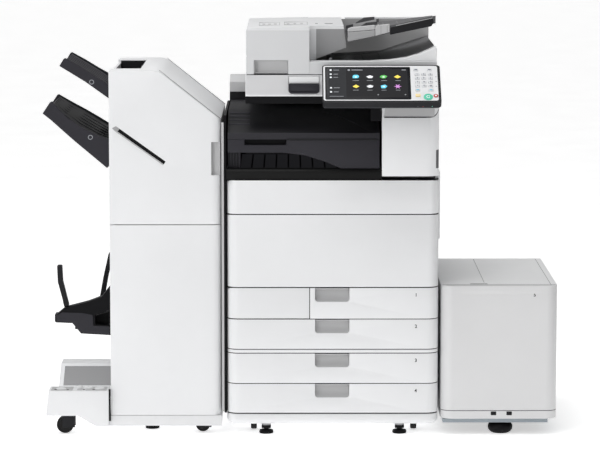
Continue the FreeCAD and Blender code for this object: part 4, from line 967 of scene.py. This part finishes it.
def leg_detail():
    """Bosses and pads on top of the front leg, the rear leg's inset side in painted shade grey, and a black
    strip filling the gap.
    """
    top = 130.5
    prisms("leg_pads", [("Z", rounded(x, (a, b), 4), (top - 0.6, top + 0.5))
            for x, a, b in (((-731, -668), 4, 66), ((-655, -640), 8, 62), ((-630, -568), 4, 66))], LIGHT,
        0.3)
    lathes("leg_bosses",
        [("Z", (x, at, top), [(0, r), (h * 0.6, r * 0.96), (h, r * 0.7), (h + 0.6, r * 0.2)])
            for x, at, r, h in ((-703, 34, 15, 3), (-648, 44, 9, 8), (-622, 40, 13, 6),
            (-590, 36, 15, 4))], WHITE)
    lathes("leg_screws", [("Z", (x, at, top), [(0, 4), (1.2, 4), (1.8, 2.6)])
            for x, at in ((-718, 18), (-682, 14), (-635, 20), (-606, 16))], GREY)
    # The rear leg's inset side is grey as painted shade; the leg itself is white.
    prism("leg_inset_shade", "Y", [(-731, 61), (-562, 61), (-562, 122), (-725, 122)], (480.2, 482), SHADE, 0.8)
    prism("leg_gap", "Y", rect((-561.4, -555.6), (40, 134)), (2, 9.6), BLACK, 0.4)


booklet_detail()
leg_detail()

# ---------------------------------------------------------------- deck, casters and feet


def deck_detail():
    """Seams, marks and the foot of the side deck."""
    top = 440
    lines = [rect((542.8, 544.4), (72, 598)), rect((736.2, 737.8), (21, 611)),
        rect((420, 750), (38.6, 40.4))]
    prisms("deck_top_seams", [("Z", o, (top - 0.6, top + 0.15)) for o in lines], SHADE, 0.0)
    prism("deck_release_slot", "Z", rounded((501, 552), (44, 51), 3), (top - 0.5, top + 0.4), DARK, 0.2)
    prisms("deck_front_marks", [("Y", rounded((x, x + 16), (57, 68), 1.5), (-0.5, 0.4))
            for x in (561, 607)], DARK, 0.2, "deck_drawer")
    lathes("deck_foot_dome",
        [("Z", (591.5, 41, 0), [(0.2, 25.6), (4, 31), (9, 35), (15, 36.6), (21, 36.5), (27, 33), (31, 26),
            (33.6, 17)])], BLACK)
    prism("deck_band_groove", "Z", rounded_front(414, 755, 34, -0.25, 3), (69.6, 71.6), GREY, 0.0,
        "deck_drawer")
    prism("deck_latch", "Y", rounded((470, 700), (418, 428), 3), (-0.5, 0.5), DECK, 0.4, "deck_drawer")
    prism("deck_lift_plate", "Z", rounded((440, 728), (60, 560), 6), (90, 92), STEEL, 0.4, "deck_drawer")


def wheel_stations(radius, wide):
    """The profile of a wheel with a recessed hub."""
    half = wide / 2
    side = [(-half, radius * 0.22), (-half, radius * 0.6), (-half + 1.6, radius * 0.64),
        (-half + 1.6, radius * 0.8), (-half, radius * 0.84), (-half + 0.5, radius * 0.95),
        (-half + 3, radius)]
    return side + [(-along, r) for along, r in reversed(side)]


def floor_parts():
    """Turned wheels with hub caps, and the levelling feet."""
    wheels = (("front_caster_wheels", "front_casters", "X", [(-136, 88), (336.7, 88)], 24, 18),
        ("rear_caster_wheels", "rear_casters", "X", [(-136, 532), (336.7, 532)], 24, 18),
        ("finisher_wheels_left", "finisher_left_casters", "Y", [(-691, 30), (-691, 522)], 25, 26),
        ("finisher_wheels_right", "finisher_right_casters", "Y", [(-286, 55), (-286, 545)], 21, 26))
    for node, body, axis, places, radius, wide in wheels:
        spots = [(axis, (x, at, radius + 1), wheel_stations(radius, wide)) for x, at in places]
        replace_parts(lathes(f"{node}_turned", spots, TYRE, body), node)
        caps = []
        for x, at in places:
            for side in (-1, 1):
                centre = [x, at, radius + 1]
                centre["XY".index(axis)] += side * wide / 2
                caps.append((axis, centre, [(-side * 0.8, 6.5), (side * 0.6, 6.5), (side * 1.2, 4.5)]))
        lathes(f"{node}_hubs", caps, BRACKET, body)
    feet = [(x, at) for x in (-98.8, 293.6) for at in (30, 585)] + [(-438, at) for at in (108, 512)]
    prisms("foot_nuts", [("Z", circle(x, at, 14.5, 6), (24, 31)) for x, at in feet], BRACKET, 1.0)
    lathes("foot_domes", [("Z", (x, at, 0), [(0.2, 19), (1, 20.8), (6, 21), (9.4, 17), (11, 10)])
            for x, at in feet], BLACK)


deck_detail()
floor_parts()

# ---------------------------------------------------------------- studio


def floor_plane(size):
    mesh = bpy.data.meshes.new("studio_floor")
    half = size / 2
    mesh.from_pydata([(-half, -half, 0), (half, -half, 0), (half, half, 0), (-half, half, 0)],
                     [], [(0, 1, 2, 3)])
    thing = bpy.data.objects.new("studio_floor", mesh)
    thing.location = (0, 0, -0.0005)
    bpy.context.scene.collection.objects.link(thing)
    return thing


def white_world():
    """Soft even light from all round, on a background that is plain white to the eye."""
    world = bpy.data.worlds.new("studio")
    bpy.context.scene.world = world
    world.use_nodes = True
    tree = world.node_tree
    background = tree.nodes["Background"]
    background.inputs["Color"].default_value = (1, 1, 1, 1)
    seen = tree.nodes.new("ShaderNodeLightPath")
    strength = tree.nodes.new("ShaderNodeMapRange")
    sky = tree.nodes.new("ShaderNodeTexCoord")
    side = tree.nodes.new("ShaderNodeSeparateXYZ")
    tree.links.new(sky.outputs["Generated"], side.inputs["Vector"])
    fall = tree.nodes.new("ShaderNodeMapRange")
    fall.inputs["From Min"].default_value = -1.0
    fall.inputs["To Min"].default_value = AMBIENT_LEFT
    fall.inputs["To Max"].default_value = AMBIENT_RIGHT
    tree.links.new(side.outputs["X"], fall.inputs["Value"])
    tree.links.new(fall.outputs["Result"], strength.inputs["To Min"])
    strength.inputs["To Max"].default_value = 1.0
    tree.links.new(seen.outputs["Is Camera Ray"], strength.inputs["Value"])
    tree.links.new(strength.outputs["Result"], background.inputs["Strength"])


AMBIENT_LEFT, AMBIENT_RIGHT = 0.80, 0.16
LAMPS = (("key_light", (-3.4, -5.2, 3.4), 2.4, 46), ("top_light", (-0.6, -0.6, 4.6), 2.6, 85))


def studio():
    floor = floor_plane(60)
    floor.data.materials.append(plastic("floor_paint", (0.90, 0.90, 0.90), rough=0.6, grain=60,
                                        bump=0.02, specular=0.2, glow=0.60))
    white_world()
    for name, place, size, power in LAMPS:
        light = bpy.data.lights.new(name, "AREA")
        light.energy = power
        light.size = size
        lamp = bpy.data.objects.new(name, light)
        lamp.location = place
        aim = Vector((0, 0, 0.6)) - Vector(place)
        lamp.rotation_euler = aim.to_track_quat("-Z", "Y").to_euler()
        bpy.context.scene.collection.objects.link(lamp)
    bpy.context.scene.view_settings.view_transform = "Standard"


def camera():
    """The main viewpoint: far in front, a little above the machine, looking down."""
    lens = bpy.data.cameras.new("camera")
    lens.lens = 177.8
    lens.sensor_width = 36
    lens.clip_end = 100
    eye = bpy.data.objects.new("camera", lens)
    eye.location = (-0.0304, -8.816, 1.670)
    eye.rotation_euler = (math.radians(90 - 6.979), 0, math.radians(-0.206))
    bpy.context.scene.collection.objects.link(eye)
    bpy.context.scene.camera = eye


studio()
camera()
